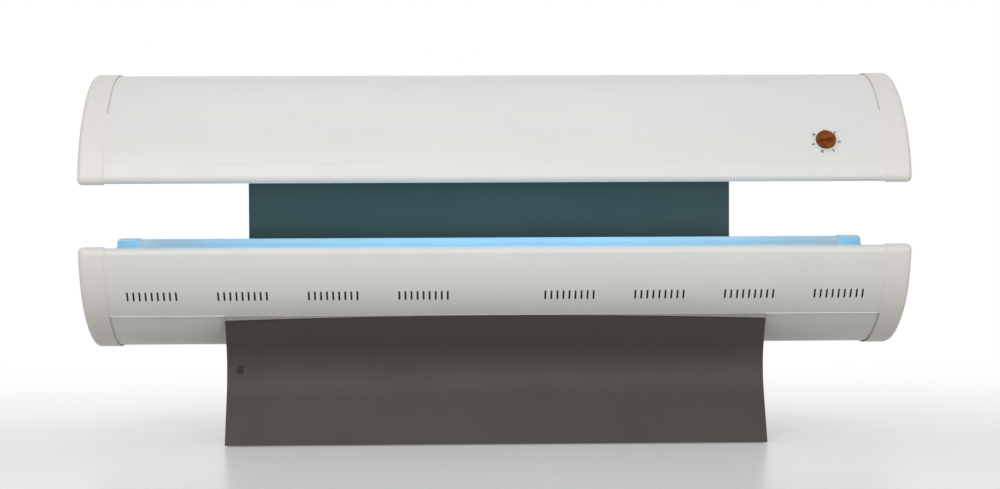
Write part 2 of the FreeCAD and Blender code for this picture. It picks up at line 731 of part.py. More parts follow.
def fan_rotor(x):
    low = FAN_LOW + FAN_PLATE + GAP
    high = FAN_TOP - FAN_PLATE - GAP
    rotor = rod(HUB_R, V(x, 0, low), V(x, 0, high))
    span = FAN_HOLE / 2.0 - BLADE_TIP
    half_t = BLADE_T / 2.0
    half_h = (high - low) / 2.0
    for i in range(BLADES):
        blade = box(HUB_R - BLADE_T, span, -half_t, half_t, -half_h, half_h)
        blade.rotate(V(0, 0, 0), X_AXIS, BLADE_ANGLE)
        blade = blade.common(rod(span, V(0, 0, -HUB_R), V(0, 0, HUB_R)))
        blade.translate(V(x, 0, (low + high) / 2.0))
        blade.rotate(V(x, 0, 0), Z_AXIS, 360.0 * i / BLADES)
        rotor = rotor.fuse(blade)
    rotor = rotor.common(rod(span, V(x, 0, low), V(x, 0, high)))
    bore = rod(FAN_SPINDLE / 2.0 + RUNNING, V(x, 0, 0), V(x, 0, BED_LIP_Z))
    return rotor.cut(bore).removeSplitter()


def rib(half):
    """Cross plate of a half at +X, behind the reflector and over the tray."""
    plate = section_plate(half, RAIL_X - ARM_T / 2.0, RAIL_X + ARM_T / 2.0, BACK_R + GAP)
    reach = TRAY_HALF + GAP
    clear = TRAY_H + PANEL_GAUGE + GAP
    room = polygon(half, [(-reach, 0), (reach, 0), (reach, clear), (-reach, clear)], 0, HALF_LENGTH)
    return max(plate.cut(room).Solids, key=lambda s: s.Volume)


def build_bed():
    front = fascia(BED, True).cut(groove(BED))
    save("bed_front_fascia", front.cut(vent_slots()))
    underside = crown_panel(BED)
    tray = gear_tray(BED)
    for x in (-FAN_X, FAN_X):
        underside = underside.cut(intake_slots(x))
        tray = tray.cut(fan_hole(x, FAN_TOP - OVER, FAN_TOP + PANEL_GAUGE + OVER))
    save("bed_underside_panel", underside)
    save("bed_gear_tray", tray)
    save("bed_ribs", *both_sides(rib(BED)))
    save("fan_frames", fan_frame(-FAN_X), fan_frame(FAN_X))
    save("fan_rotor_left", fan_rotor(-FAN_X))
    save("fan_rotor_right", fan_rotor(FAN_X))
    save_half(BED)


# ---- base and column --------------------------------------------------------------------
LEG_SLOPE = math.tan(math.radians(LEG_ANGLE))
BASE_START = (BASE_FOOT_Y + BASE_CLEAR * LEG_SLOPE, BASE_CLEAR)
BASE_MOVES = [LEG_L, (WAIST_R_LOW, LEG_ANGLE), (WAIST_R_HIGH, TOP_ANGLE), TOP_L]
BASE_TOP = track(BASE_START, 90.0 - LEG_ANGLE, BASE_MOVES)[-1][-1][0]
WAIST = track(BASE_START, 90.0 - LEG_ANGLE, BASE_MOVES)[1][-1][0]


def bed_outside(grown):
    """Solid of the bed as it is outside, with its recessed underside, grown for a clearance."""
    edge = seam_point(PANEL_RECESS, BEND_R + GAP)[0]
    crown = crown_rod(BED, crown_circle(BED)[0] + grown)
    recess = beyond_seams(BED, edge).cut(crown)
    outside = slab(BED, -grown, -HALF_LENGTH, HALF_LENGTH).cut(recess)
    rear = bead(BED, grown)
    return outside.fuse(rear).fuse(rear.mirror(V(0, 0, 0), Y_AXIS))


def base_strip(x0, x1, depth):
    return bent_sheet(FLOOR, x0, x1, BASE_START, 90.0 - LEG_ANGLE, BASE_MOVES, -depth)


def base_front_panel():
    """Waisted front sheet with a return down each side; its top edge is a shallow arch."""
    panel = base_strip(-BASE_HALF, BASE_HALF, BASE_GAUGE)
    for side in both_sides(base_strip(BASE_HALF - BASE_GAUGE, BASE_HALF, BASE_RETURN)):
        panel = panel.fuse(side)
    arch_r = (BASE_HALF ** 2 + TOP_ARCH ** 2) / (2.0 * TOP_ARCH)
    top = BASE_TOP[1] - BASE_GAUGE * math.sin(math.radians(TOP_ANGLE))
    keep = rod(arch_r, V(0, -HALF_LENGTH, top - arch_r), V(0, HALF_LENGTH, top - arch_r))
    hole = plug_shape(PLUG_R - PLUG_RIM + TOUCH, WAIST[0] - BASE_RETURN, WAIST[0] + BASE_RETURN)
    panel = panel.removeSplitter().common(keep).cut(hole)
    panel = panel.cut(bed_outside(TOUCH))
    below = box(-LENGTH, LENGTH, -LENGTH, LENGTH, -TUBE_H, BASE_CLEAR)
    return max(panel.cut(below).Solids, key=lambda s: s.Volume)


def plug_shape(radius, y0, y1):
    """Upright oval prism about the plug's place on the front panel."""
    x = PLUG_IN - BASE_HALF
    low = PLUG_Z - PLUG_STRETCH
    high = PLUG_Z + PLUG_STRETCH
    shape = box(x - radius, x + radius, y0, y1, low, high)
    for z in (low, high):
        shape = shape.fuse(rod(radius, V(x, y0, z), V(x, y1, z)))
    return shape.removeSplitter()


def base_plug(panel):
    """Push-in plug, its domed flange seated on the front panel."""
    face = WAIST[0] - PLUG_T
    stem = plug_shape(PLUG_R - PLUG_RIM, WAIST[0] - PLUG_T / 2.0, WAIST[0] + BASE_GAUGE * 2.0)
    flange = plug_shape(PLUG_R, face, WAIST[0])
    flange = flange.makeFillet(PLUG_ROUND, [e for e in flange.Edges if e.CenterOfMass.y < face + GAP])
    plug = flange.fuse(stem).cut(panel)
    return max(plug.Solids, key=lambda s: s.Volume).removeSplitter()


def base_side():
    """Side sheet at +X: follows the front panel and the bed's section back to the column."""
    x = COLUMN_HALF - COLUMN_GAUGE
    steps = track(BASE_START, 90.0 - LEG_ANGLE, BASE_MOVES)
    front = track_edges(FLOOR, x, steps, -(BASE_GAUGE + TOUCH))
    foot = front[0].firstVertex().Point
    head = front[-1].lastVertex().Point
    corners = [foot, V(x, COLUMN_Y - TOUCH, foot.z), V(x, COLUMN_Y - TOUCH, BED_LIP_Z - LIP_R),
               V(x, head.y, BED_LIP_Z - LIP_R), head]
    edges = [Part.LineSegment(a, b).toShape() for a, b in zip(corners[:-1], corners[1:])]
    sheet = prism(Part.Face(Part.Wire(Part.__sortEdges__(front + edges))), COLUMN_GAUGE)
    sheet = sheet.cut(bed_outside(TOUCH))
    return max(sheet.Solids, key=lambda s: s.Volume)


def box_tube(x0, x1, y0, y1, z0, z1, along):
    """Rectangular tube, open at both ends of the axis it runs along."""
    dx, dy, dz = [0 if axis == along else TUBE_WALL for axis in "xyz"]
    inside = box(x0 + dx, x1 - dx, y0 + dy, y1 - dy, z0 + dz, z1 - dz)
    return box(x0, x1, y0, y1, z0, z1).cut(inside)


def saddle():
    """Plate between floor rail and bed at +X, with two lightening holes."""
    low = PAD_H + TUBE_H
    half_t = SADDLE_T / 2.0
    plate = box(RAIL_X - half_t, RAIL_X + half_t, SADDLE_FRONT, SADDLE_REAR, low, BED_LIP_Z)
    plate = plate.cut(bed_outside(TOUCH))
    for share in SADDLE_HOLES:
        y = SADDLE_FRONT + (SADDLE_REAR - SADDLE_FRONT) * share
        centre = V(0, y, low + SADDLE_HOLE_R * 2.0)
        plate = plate.cut(rod(SADDLE_HOLE_R, centre, centre + V(HALF_LENGTH, 0, 0)))
    return max(plate.Solids, key=lambda s: s.Volume)


def column_front_panel():
    low, high = BASE_CLEAR, COLUMN_FRONT_TOP
    panel = box(-COLUMN_HALF, COLUMN_HALF, COLUMN_Y, COLUMN_Y + COLUMN_GAUGE, low, high)
    rear = COLUMN_SPLIT - TOUCH / 2.0
    for flange in both_sides(box(COLUMN_HALF - COLUMN_GAUGE, COLUMN_HALF, COLUMN_Y, rear, low, high)):
        panel = panel.fuse(flange)
    reach = TUBE_W / 2.0 + TOUCH
    top = PAD_H + TUBE_H + TOUCH
    for rail in both_sides(box(RAIL_X - reach, RAIL_X + reach, 0, UPRIGHT_Y, 0, top)):
        panel = panel.cut(rail)
    return panel.removeSplitter()


def column_rear_panel():
    inner = REAR_FACE - COLUMN_GAUGE
    front = COLUMN_SPLIT + TOUCH / 2.0
    panel = box(-COLUMN_HALF, COLUMN_HALF, inner, REAR_FACE, BASE_CLEAR, COLUMN_TOP)
    side = box(COLUMN_HALF - COLUMN_GAUGE, COLUMN_HALF, front, REAR_FACE, BASE_CLEAR, COLUMN_TOP)
    for flange in both_sides(side):
        panel = panel.fuse(flange)
    lid = box(-COLUMN_HALF, COLUMN_HALF, front, REAR_FACE, COLUMN_TOP - COLUMN_GAUGE, COLUMN_TOP)
    panel = panel.fuse(lid)
    width = EAR_GAP / 2.0 + EAR_T
    notch = box(RAIL_X - width, RAIL_X + width, 0, inner - TOUCH, HINGE_Z, COLUMN_TOP + OVER)
    panel = panel.cut(both_sides(notch))
    gland = gland_point()
    through = X_AXIS * (COLUMN_GAUGE + OVER)
    panel = panel.cut(rod(GLAND_BORE_R + GLAND_WALL, gland - through, gland + through))
    for x, z in screw_places():
        hole = rod(SCREW_R / 2.0 + TOUCH, V(x, inner - OVER, z), V(x, REAR_FACE + OVER, z))
        panel = panel.cut(hole)
    return panel.removeSplitter()


def screw_places():
    heights = (PAD_H + TUBE_H * 2.0, BED_LIP_Z - TUBE_H, COLUMN_FRONT_TOP - TUBE_H)
    return [(side * RAIL_X, z) for side in (-1, 1) for z in heights]


def column_screws():
    """Domed screws that hold the rear panel to the uprights."""
    screws = []
    inner = UPRIGHT_Y + UPRIGHT / 2.0
    outer = REAR_FACE + SCREW_HEAD
    for x, z in screw_places():
        head = rod(SCREW_R, V(x, REAR_FACE, z), V(x, outer, z))
        head = head.makeFillet(SCREW_ROUND, [e for e in head.Edges if is_rim(e, e.CenterOfMass.y, outer)])
        shank = rod(SCREW_R / 2.0, V(x, inner, z), V(x, REAR_FACE + TOUCH, z))
        screws.append(head.fuse(shank).removeSplitter())
    return screws


def is_rim(edge, place, level):
    """Whether a closed edge's middle, given along one axis, is at a level."""
    return len(edge.Vertexes) == 1 and abs(place - level) < GAP


def gland_point():
    return V(-COLUMN_HALF, (COLUMN_SPLIT + REAR_FACE) / 2.0, GLAND_Z)


def cable_gland():
    """Mains inlet: a hexagonal gland through the column's left flange, bored for the lead."""
    seat = gland_point() - X_AXIS * TOUCH
    across = GLAND_BORE_R + GLAND_NUT_WALL
    stem_r = GLAND_BORE_R + GLAND_WALL
    turns = [math.pi / 3.0 * i for i in range(7)]
    corners = [seat + V(0, across * math.cos(turn), across * math.sin(turn)) for turn in turns]
    nut = Part.Face(Part.makePolygon(corners)).extrude(V(-GLAND_NUT_L, 0, 0))
    nut_end = seat - X_AXIS * GLAND_NUT_L
    dome = Part.makeCone(stem_r, GLAND_BORE_R + GLAND_TIP_WALL, GLAND_DOME_L, nut_end, V(-1, 0, 0))
    tip = nut_end - X_AXIS * GLAND_DOME_L
    stem_end = seat + X_AXIS * GLAND_STEM_L
    gland = nut.fuse(dome).fuse(rod(stem_r - TOUCH, seat, stem_end))
    return gland.cut(rod(GLAND_BORE_R, tip, stem_end)).removeSplitter()


def build_base():
    rail_top = PAD_H + TUBE_H
    half_w = TUBE_W / 2.0
    rear = UPRIGHT_Y + UPRIGHT / 2.0
    rail = box_tube(RAIL_X - half_w, RAIL_X + half_w, RAIL_FRONT, rear, PAD_H, rail_top, "y")
    save("floor_rails", *both_sides(rail))
    reach = RAIL_X - half_w - TOUCH
    ys = list(CROSS_YS) + [rear - TUBE_H]
    save("cross_tubes", *[box_tube(-reach, reach, y, y + TUBE_H, PAD_H, rail_top, "x") for y in ys])
    pads = []
    for y in (RAIL_FRONT + PAD_R, CROSS_YS[1], rear - PAD_R):
        pads.extend(both_sides(rod(PAD_R, V(RAIL_X, y, 0), V(RAIL_X, y, PAD_H))))
    save("glide_pads", *pads)
    save("saddle_plates", *both_sides(saddle()))
    front = base_front_panel()
    save("base_front_panel", front)
    save("base_side_panels", *both_sides(base_side()))
    save("base_plug", base_plug(front))
    half_u = UPRIGHT / 2.0
    face = UPRIGHT_Y - half_u
    upright = box_tube(RAIL_X - half_u, RAIL_X + half_u, face, rear, rail_top, UPRIGHT_TOP, "z")
    save("column_uprights", *both_sides(upright))
    brackets = []
    for z in (rail_top + TUBE_H, BED_LIP_Z, COLUMN_FRONT_TOP - HAT_DROP):
        behind = COLUMN_Y + COLUMN_GAUGE + TOUCH
        brackets.extend(both_sides(box_tube(RAIL_X - half_u, RAIL_X, behind, face, z, z + TUBE_H, "x")))
    save("column_brackets", *brackets)
    save("column_front_panel", column_front_panel())
    save("column_rear_panel", column_rear_panel())
    save("column_screws", *column_screws())
    save("cable_gland", cable_gland())


# ---- hinge, springs and canopy ----------------------------------------------------------
LEVER = math.radians(LEVER_DROP)
STUD_Y = UPRIGHT_Y - LEVER_R * math.cos(LEVER)
STUD_Z = HINGE_Z - LEVER_R * math.sin(LEVER)
SPRING_Y = STUD_Y - LEVER_R * (1.0 - math.cos(LEVER)) / 2.0   # midway through the stud's sway
EAR_IN = RAIL_X - EAR_GAP / 2.0
EAR_OUT = RAIL_X + EAR_GAP / 2.0
STUD_TIP = SPRING_X + EYE_T / 2.0 + STUD_END
BARREL_LOW = LOW_PIVOT_Z + EYE_R - EYE_SINK


def hinge_bracket():
    """Clevis on an upright at +X."""
    half_u = UPRIGHT / 2.0
    front = UPRIGHT_Y - half_u
    rear = UPRIGHT_Y + half_u
    bracket = box(RAIL_X - half_u, RAIL_X + half_u, front, rear, UPRIGHT_TOP, UPRIGHT_TOP + EAR_T)
    for x in (EAR_IN - EAR_T, EAR_OUT):
        bracket = bracket.fuse(box(x, x + EAR_T, front, rear, UPRIGHT_TOP, HINGE_Z))
        bracket = bracket.fuse(rod(half_u, V(x, UPRIGHT_Y, HINGE_Z), V(x + EAR_T, UPRIGHT_Y, HINGE_Z)))
    bore = rod(PIN_D / 2.0 + RUNNING, V(0, UPRIGHT_Y, HINGE_Z), V(HALF_LENGTH, UPRIGHT_Y, HINGE_Z))
    return bracket.cut(bore).removeSplitter()


def hinge_pin():
    start = V(EAR_IN - EAR_T - TOUCH, UPRIGHT_Y, HINGE_Z)
    end = V(EAR_OUT + EAR_T + TOUCH, UPRIGHT_Y, HINGE_Z)
    head = X_AXIS * PIN_HEAD_T
    pin = rod(PIN_D / 2.0, start - head, end + head)
    for inner, outer in ((start, start - head), (end, end + head)):
        pin = pin.fuse(rod(PIN_HEAD_R, inner, outer))
    return pin.removeSplitter()


def hinge_bush(side):
    """Flanged bush pressed into one face of the arm at +X."""
    bore = PIN_D / 2.0 + RUNNING
    outer = bore + BUSH_WALL
    at = V(RAIL_X, UPRIGHT_Y, HINGE_Z)
    face = at + V(side * ARM_T / 2.0, 0, 0)
    tip = at + V(side * (EAR_GAP / 2.0 - GAP), 0, 0)
    bush = rod(outer, at, face).fuse(rod(outer + BUSH_WALL, face, tip))
    hole = rod(bore, V(0, UPRIGHT_Y, HINGE_Z), V(HALF_LENGTH, UPRIGHT_Y, HINGE_Z))
    return bush.cut(hole).removeSplitter()


def hinge_arm():
    """Canopy rib and the arm that reaches from it to the hinge, one plate at +X."""
    x0 = RAIL_X - ARM_T / 2.0
    x1 = RAIL_X + ARM_T / 2.0
    low = HINGE_Z - ARM_H / 2.0 - CANOPY_LIP_Z
    high = low + ARM_H
    back = DISH_H + math.sqrt((BACK_R + GAP) ** 2 - REFLECTOR_HALF ** 2) + GAP
    root_y = SEAM_Y - HEM - BEND_R * 2.0
    root_h = DISH_H + math.sqrt((BACK_R + GAP) ** 2 - root_y ** 2) + GAP
    shell = fascia_y(high, FASCIA_GAUGE) - GAP
    knee_h = (root_h + ARM_ROOT + high) / 2.0
    knee_y = fascia_y(knee_h + GAP, FASCIA_GAUGE + HEM)
    outline = [(root_y, root_h), (root_y, root_h + ARM_ROOT), (knee_y, knee_h), (shell, high),
               (UPRIGHT_Y, high), (UPRIGHT_Y, low), (WING_Y, low), (REFLECTOR_HALF + BEND_R, back)]
    arm = rib(CANOPY).fuse(polygon(CANOPY, outline, x0, x1))
    arm = arm.fuse(rod(ARM_EYE_R, V(x0, UPRIGHT_Y, HINGE_Z), V(x1, UPRIGHT_Y, HINGE_Z)))
    arm = arm.fuse(rod(STUD_BOSS, V(x0, STUD_Y, STUD_Z), V(x1, STUD_Y, STUD_Z)))
    bush = PIN_D / 2.0 + RUNNING + BUSH_WALL
    arm = arm.cut(rod(bush, V(x0 - OVER, UPRIGHT_Y, HINGE_Z), V(x1 + OVER, UPRIGHT_Y, HINGE_Z)))
    return arm.removeSplitter()


def hinge_stop():
    """Rubber buffer on the bracket at +X that the closed arm rests on."""
    low = UPRIGHT_TOP + EAR_T
    at = V(RAIL_X, UPRIGHT_Y - UPRIGHT / 2.0 + PIN_D / 2.0, 0)
    return rod(PIN_D / 2.0, at + V(0, 0, low), at + V(0, 0, HINGE_Z - ARM_H / 2.0 - GAP))


def spring_stud():
    start = RAIL_X + ARM_T / 2.0
    return rod(STUD_R, V(start, STUD_Y, STUD_Z), V(STUD_TIP, STUD_Y, STUD_Z))


def spring_bracket():
    """Plate on the upright's outer side at +X with the spring's lower stud."""
    side = RAIL_X + UPRIGHT / 2.0
    outer = side + SPRING_PLATE
    plate = box(side, outer, SPRING_Y - EYE_R, UPRIGHT_Y, LOW_PIVOT_Z - EYE_R, BARREL_LOW - GAP)
    stud = rod(STUD_R, V(side, SPRING_Y, LOW_PIVOT_Z), V(STUD_TIP, SPRING_Y, LOW_PIVOT_Z))
    return plate.fuse(stud).removeSplitter()


def eye(z, hole):
    start = V(SPRING_X - EYE_T / 2.0, SPRING_Y, z)
    return rod(EYE_R, start, start + V(EYE_T, 0, 0)), rod(hole, start, start + V(EYE_T, 0, 0))


def spring_barrel():
    """Gas spring's cylinder at +X, its lower eye on the bracket's stud."""
    low = V(SPRING_X, SPRING_Y, BARREL_LOW)
    high = low + Z_AXIS * BARREL_L
    end = Z_AXIS * BARREL_END
    ring, hole = eye(LOW_PIVOT_Z, STUD_R + RUNNING)
    barrel = rod(BARREL_R, low, high).fuse(ring)
    barrel = barrel.cut(rod(BARREL_R - BARREL_WALL, low + end, high - end))
    barrel = barrel.cut(rod(ROD_R + RUNNING, high - end - Z_AXIS * OVER, high + Z_AXIS * OVER))
    return barrel.cut(hole).removeSplitter()


def spring_rod():
    """Gas spring's rod at +X with its piston and the open upper eye."""
    foot = V(SPRING_X, SPRING_Y, BARREL_LOW + BARREL_L - ROD_IN)
    ring, hole = eye(STUD_Z, EYE_HOLE_R)
    shaft = rod(ROD_R, foot, V(SPRING_X, SPRING_Y, STUD_Z - EYE_HOLE_R - OVER))
    piston = rod(BARREL_R - BARREL_WALL - RUNNING, foot, foot + Z_AXIS * PISTON_L)
    return shaft.fuse(ring).fuse(piston).cut(hole).removeSplitter()


def timer_pieces():
    """Timer body, bezel, shaft and knob, made facing +Z at the origin, then put on the fascia."""
    point, normal = surface_frame(CANOPY, KNOB_X, KNOB_H)
    width, height, depth = TIMER_BOX
    sag = FASCIA_R - FASCIA_GAUGE - math.sqrt((FASCIA_R - FASCIA_GAUGE) ** 2 - (height / 2.0) ** 2)
    face = -(FASCIA_GAUGE + sag + GAP)
    body = box(-width / 2.0, width / 2.0, -height / 2.0, height / 2.0, face - depth, face)
    boss_top = -(FASCIA_GAUGE + TOUCH)
    body = body.fuse(rod(TIMER_BOSS_R, V(0, 0, face - OVER), V(0, 0, boss_top)))
    body = body.cut(rod(TIMER_SHAFT_R + RUNNING, V(0, 0, face - depth / 2.0), V(0, 0, OVER)))
    bezel = tube(BEZEL_R, KNOB_R + GAP, V(0, 0, face), V(0, 0, BEZEL_PROUD))
    shaft = rod(TIMER_SHAFT_R, V(0, 0, face - depth / 2.0 + GAP), V(0, 0, KNOB_SKIRT))
    knob = rod(KNOB_R, V(0, 0, GAP), V(0, 0, KNOB_SKIRT))
    rim = [e for e in knob.Edges if is_rim(e, e.CenterOfMass.z, KNOB_SKIRT)]
    knob = knob.makeFillet(KNOB_ROUND, rim)
    knob = knob.fuse(knob_grip()).fuse(knob_nub())
    knob = knob.cut(rod(TIMER_SHAFT_R, V(0, 0, -OVER), V(0, 0, KNOB_SKIRT))).removeSplitter()
    return [facing(shape, point, normal) for shape in (body, bezel, shaft, knob)]


def knob_grip():
    """Bar across the knob that the fingers turn."""
    reach = KNOB_R - KNOB_ROUND
    grip = box(-reach, reach, -GRIP_HALF, GRIP_HALF, KNOB_SKIRT - KNOB_ROUND - OVER, KNOB_L)
    grip = grip.makeFillet(KNOB_ROUND, [e for e in grip.Edges if e.CenterOfMass.z > KNOB_L - GAP])
    grip.rotate(V(0, 0, 0), Z_AXIS, GRIP_TILT)
    return grip


def knob_nub():
    """Pointer at the knob's rim, clear of the bezel."""
    low = BEZEL_PROUD + OVER
    high = KNOB_SKIRT - KNOB_ROUND / 2.0
    nub = box(-NUB_W / 2.0, NUB_W / 2.0, KNOB_R - NUB_W, KNOB_R + NUB_OUT, low, high)
    nub.rotate(V(0, 0, 0), Z_AXIS, NUB_TILT)
    return nub


def build_canopy():
    body, bezel, shaft, knob = timer_pieces()
    point, normal = surface_frame(CANOPY, KNOB_X, KNOB_H)
    deep = normal * FASCIA_GAUGE * 2.0
    hole = rod(TIMER_HOLE_R, point - deep, point + deep)
    front = fascia(CANOPY, True).cut(groove(CANOPY))
    save("canopy_front_fascia", front.cut(hole))
    save("timer_body", body)
    save("timer_bezel", bezel.cut(slab(CANOPY, 0.0, 0, HALF_LENGTH)))
    save("timer_shaft", shaft)
    save("timer_knob", knob)
    save("canopy_top_panel", crown_panel(CANOPY))
    save("canopy_gear_tray", gear_tray(CANOPY))
    save("hinge_arms", *both_sides(hinge_arm()))
    bushes = []
    for side in (-1, 1):
        bushes.extend(both_sides(hinge_bush(side)))
    save("hinge_bushes", *bushes)
    save("hinge_brackets", *both_sides(hinge_bracket()))
    save("hinge_pins", *both_sides(hinge_pin()))
    save("hinge_stops", *both_sides(hinge_stop()))
    save("spring_studs", *both_sides(spring_stud()))
    save("spring_brackets", *both_sides(spring_bracket()))
    save("spring_barrels", *both_sides(spring_barrel()))
    right, left = both_sides(spring_rod())
    save("spring_rod_right", right)
    save("spring_rod_left", left)
    save_half(CANOPY)


os.makedirs("parts", exist_ok=True)
build_base()
build_bed()
build_canopy()
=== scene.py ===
"""Looks of a clamshell tanning bed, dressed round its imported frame.

The frame gives every rigid part at its real size. This script gives each of them its finish, adds the
small pieces that only the eye needs, and sets up the floor, the light and the camera.
Everything is in metres, +Z up, with the front of the bed towards -Y.
"""

import logging
import math
from collections.abc import Callable, Iterable, Iterator, Mapping, Sequence
from contextlib import contextmanager
from dataclasses import dataclass
from enum import Enum
from itertools import product

import bmesh
import bpy
from mathutils import Matrix, Vector


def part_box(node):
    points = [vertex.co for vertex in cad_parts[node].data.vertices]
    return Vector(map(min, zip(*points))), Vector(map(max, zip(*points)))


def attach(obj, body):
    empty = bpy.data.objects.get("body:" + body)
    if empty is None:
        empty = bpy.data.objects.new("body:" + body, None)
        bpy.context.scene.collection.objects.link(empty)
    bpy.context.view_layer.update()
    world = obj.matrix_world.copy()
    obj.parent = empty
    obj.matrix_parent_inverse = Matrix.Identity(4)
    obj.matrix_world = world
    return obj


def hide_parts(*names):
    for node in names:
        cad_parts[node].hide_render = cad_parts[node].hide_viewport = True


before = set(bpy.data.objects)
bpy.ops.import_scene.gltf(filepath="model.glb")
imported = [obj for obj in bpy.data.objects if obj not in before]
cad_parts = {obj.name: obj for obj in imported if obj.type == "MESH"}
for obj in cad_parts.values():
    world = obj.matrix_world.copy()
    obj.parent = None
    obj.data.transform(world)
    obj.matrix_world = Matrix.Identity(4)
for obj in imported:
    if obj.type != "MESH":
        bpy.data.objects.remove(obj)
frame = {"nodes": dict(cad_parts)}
bpy.context.view_layer.update()
LOG = logging.getLogger("tanning_bed")
SMOOTH_BELOW = math.radians(32)
MERGE = 1e-7

Colour = tuple[float, float, float]
Point = tuple[float, float, float]
Flat = tuple[float, float]


def srgb(red: int, green: int, blue: int) -> Colour:
    """Turns a screen colour into a linear one.

    Args:
        red: red, 0 to 255.
        green: green, 0 to 255.
        blue: blue, 0 to 255.

    Returns:
        The linear colour.
    """
    def linear(value: int) -> float:
        """Undoes the screen's gamma for one channel."""
        share = value / 255
        return share / 12.92 if share <= 0.04045 else ((share + 0.055) / 1.055) ** 2.4
    return linear(red), linear(green), linear(blue)


def shade(colour: Colour, factor: float) -> Colour:
    """Returns the colour made lighter or darker by one factor."""
    return colour[0] * factor, colour[1] * factor, colour[2] * factor


BLACK = (0.0, 0.0, 0.0)
WHITE = (1.0, 1.0, 1.0)
LAMP_BLUE = srgb(141, 217, 255)


# ---------------------------------------------------------------- shader trees


class Flow:
    """A number that runs along a shader tree, with its maths written as Python."""

    def __init__(self, shader: "Tree", socket: bpy.types.NodeSocket) -> None:
        """Keeps the tree and the socket that the number comes out of."""
        self.shader = shader
        self.socket = socket

    def _math(self, operation: str, first: object, second: object, clamp: bool = False) -> "Flow":
        """Adds one Math node.

        Args:
            operation: the node's operation.
            first: its first value or Flow.
            second: its second value or Flow.
            clamp: keeps the result between 0 and 1.

        Returns:
            The node's result.
        """
        settings = {"operation": operation, "use_clamp": clamp}
        return self.shader.flow("ShaderNodeMath", settings, {0: first, 1: second})

    def __add__(self, other: object) -> "Flow":
        """Adds."""
        return self._math("ADD", self, other)

    def __radd__(self, other: object) -> "Flow":
        """Adds, from the right."""
        return self._math("ADD", other, self)

    def __sub__(self, other: object) -> "Flow":
        """Subtracts."""
        return self._math("SUBTRACT", self, other)

    def __rsub__(self, other: object) -> "Flow":
        """Subtracts, from the right."""
        return self._math("SUBTRACT", other, self)

    def __mul__(self, other: object) -> "Flow":
        """Multiplies."""
        return self._math("MULTIPLY", self, other)

    def __rmul__(self, other: object) -> "Flow":
        """Multiplies, from the right."""
        return self._math("MULTIPLY", other, self)

    def __pow__(self, other: object) -> "Flow":
        """Raises to a power."""
        return self._math("POWER", self, other)

    def over(self, low: float, high: float) -> "Flow":
        """Ramps from 0 at low to 1 at high, and stays there."""
        return self._math("MULTIPLY", self - low, 1 / (high - low), clamp=True)

    def eased(self) -> "Flow":
        """Softens both ends of a ramp from 0 to 1."""
        return self * self * (3 - 2 * self)

    def size(self) -> "Flow":
        """Drops the sign."""
        return self._math("ABSOLUTE", self, 0.0)

    def sine(self) -> "Flow":
        """Takes the sine."""
        return self._math("SINE", self, 0.0)

    def cosine(self) -> "Flow":
        """Takes the cosine."""
        return self._math("COSINE", self, 0.0)


class Tree:
    """A node tree that is grown one node at a time."""

    def __init__(self, tree: bpy.types.NodeTree) -> None:
        """Takes over a tree and empties it."""
        self.tree = tree
        self.tree.nodes.clear()

    def node(self, kind: str, settings: Mapping[str, object] | None = None,
             inputs: Mapping[object, object] | None = None) -> bpy.types.Node:
        """Adds a node, sets it up and links it.

        Args:
            kind: the node's type.
            settings: its own settings, which are set first.
            inputs: a value, Flow or socket for each of its inputs, by name or place.

        Returns:
            The node.
        """
        made = self.tree.nodes.new(kind)
        for name, value in (settings or {}).items():
            setattr(made, name, value)
        for place, value in (inputs or {}).items():
            self._feed(made.inputs[place], value)
        return made

    def _feed(self, socket: bpy.types.NodeSocket, value: object) -> None:
        """Links a Flow or socket to an input, or sets its value.

        Args:
            socket: the input.
            value: what it gets.
        """
        if isinstance(value, Flow):
            value = value.socket
        if isinstance(value, bpy.types.NodeSocket):
            self.tree.links.new(value, socket)
        elif socket.type == "RGBA":
            socket.default_value = (*value, 1.0)
        else:
            socket.default_value = value

    def flow(self, kind: str, settings: Mapping[str, object] | None = None,
             inputs: Mapping[object, object] | None = None, out: object = 0) -> Flow:
        """Adds a node and returns one of its outputs as a Flow."""
        return Flow(self, self.node(kind, settings, inputs).outputs[out])


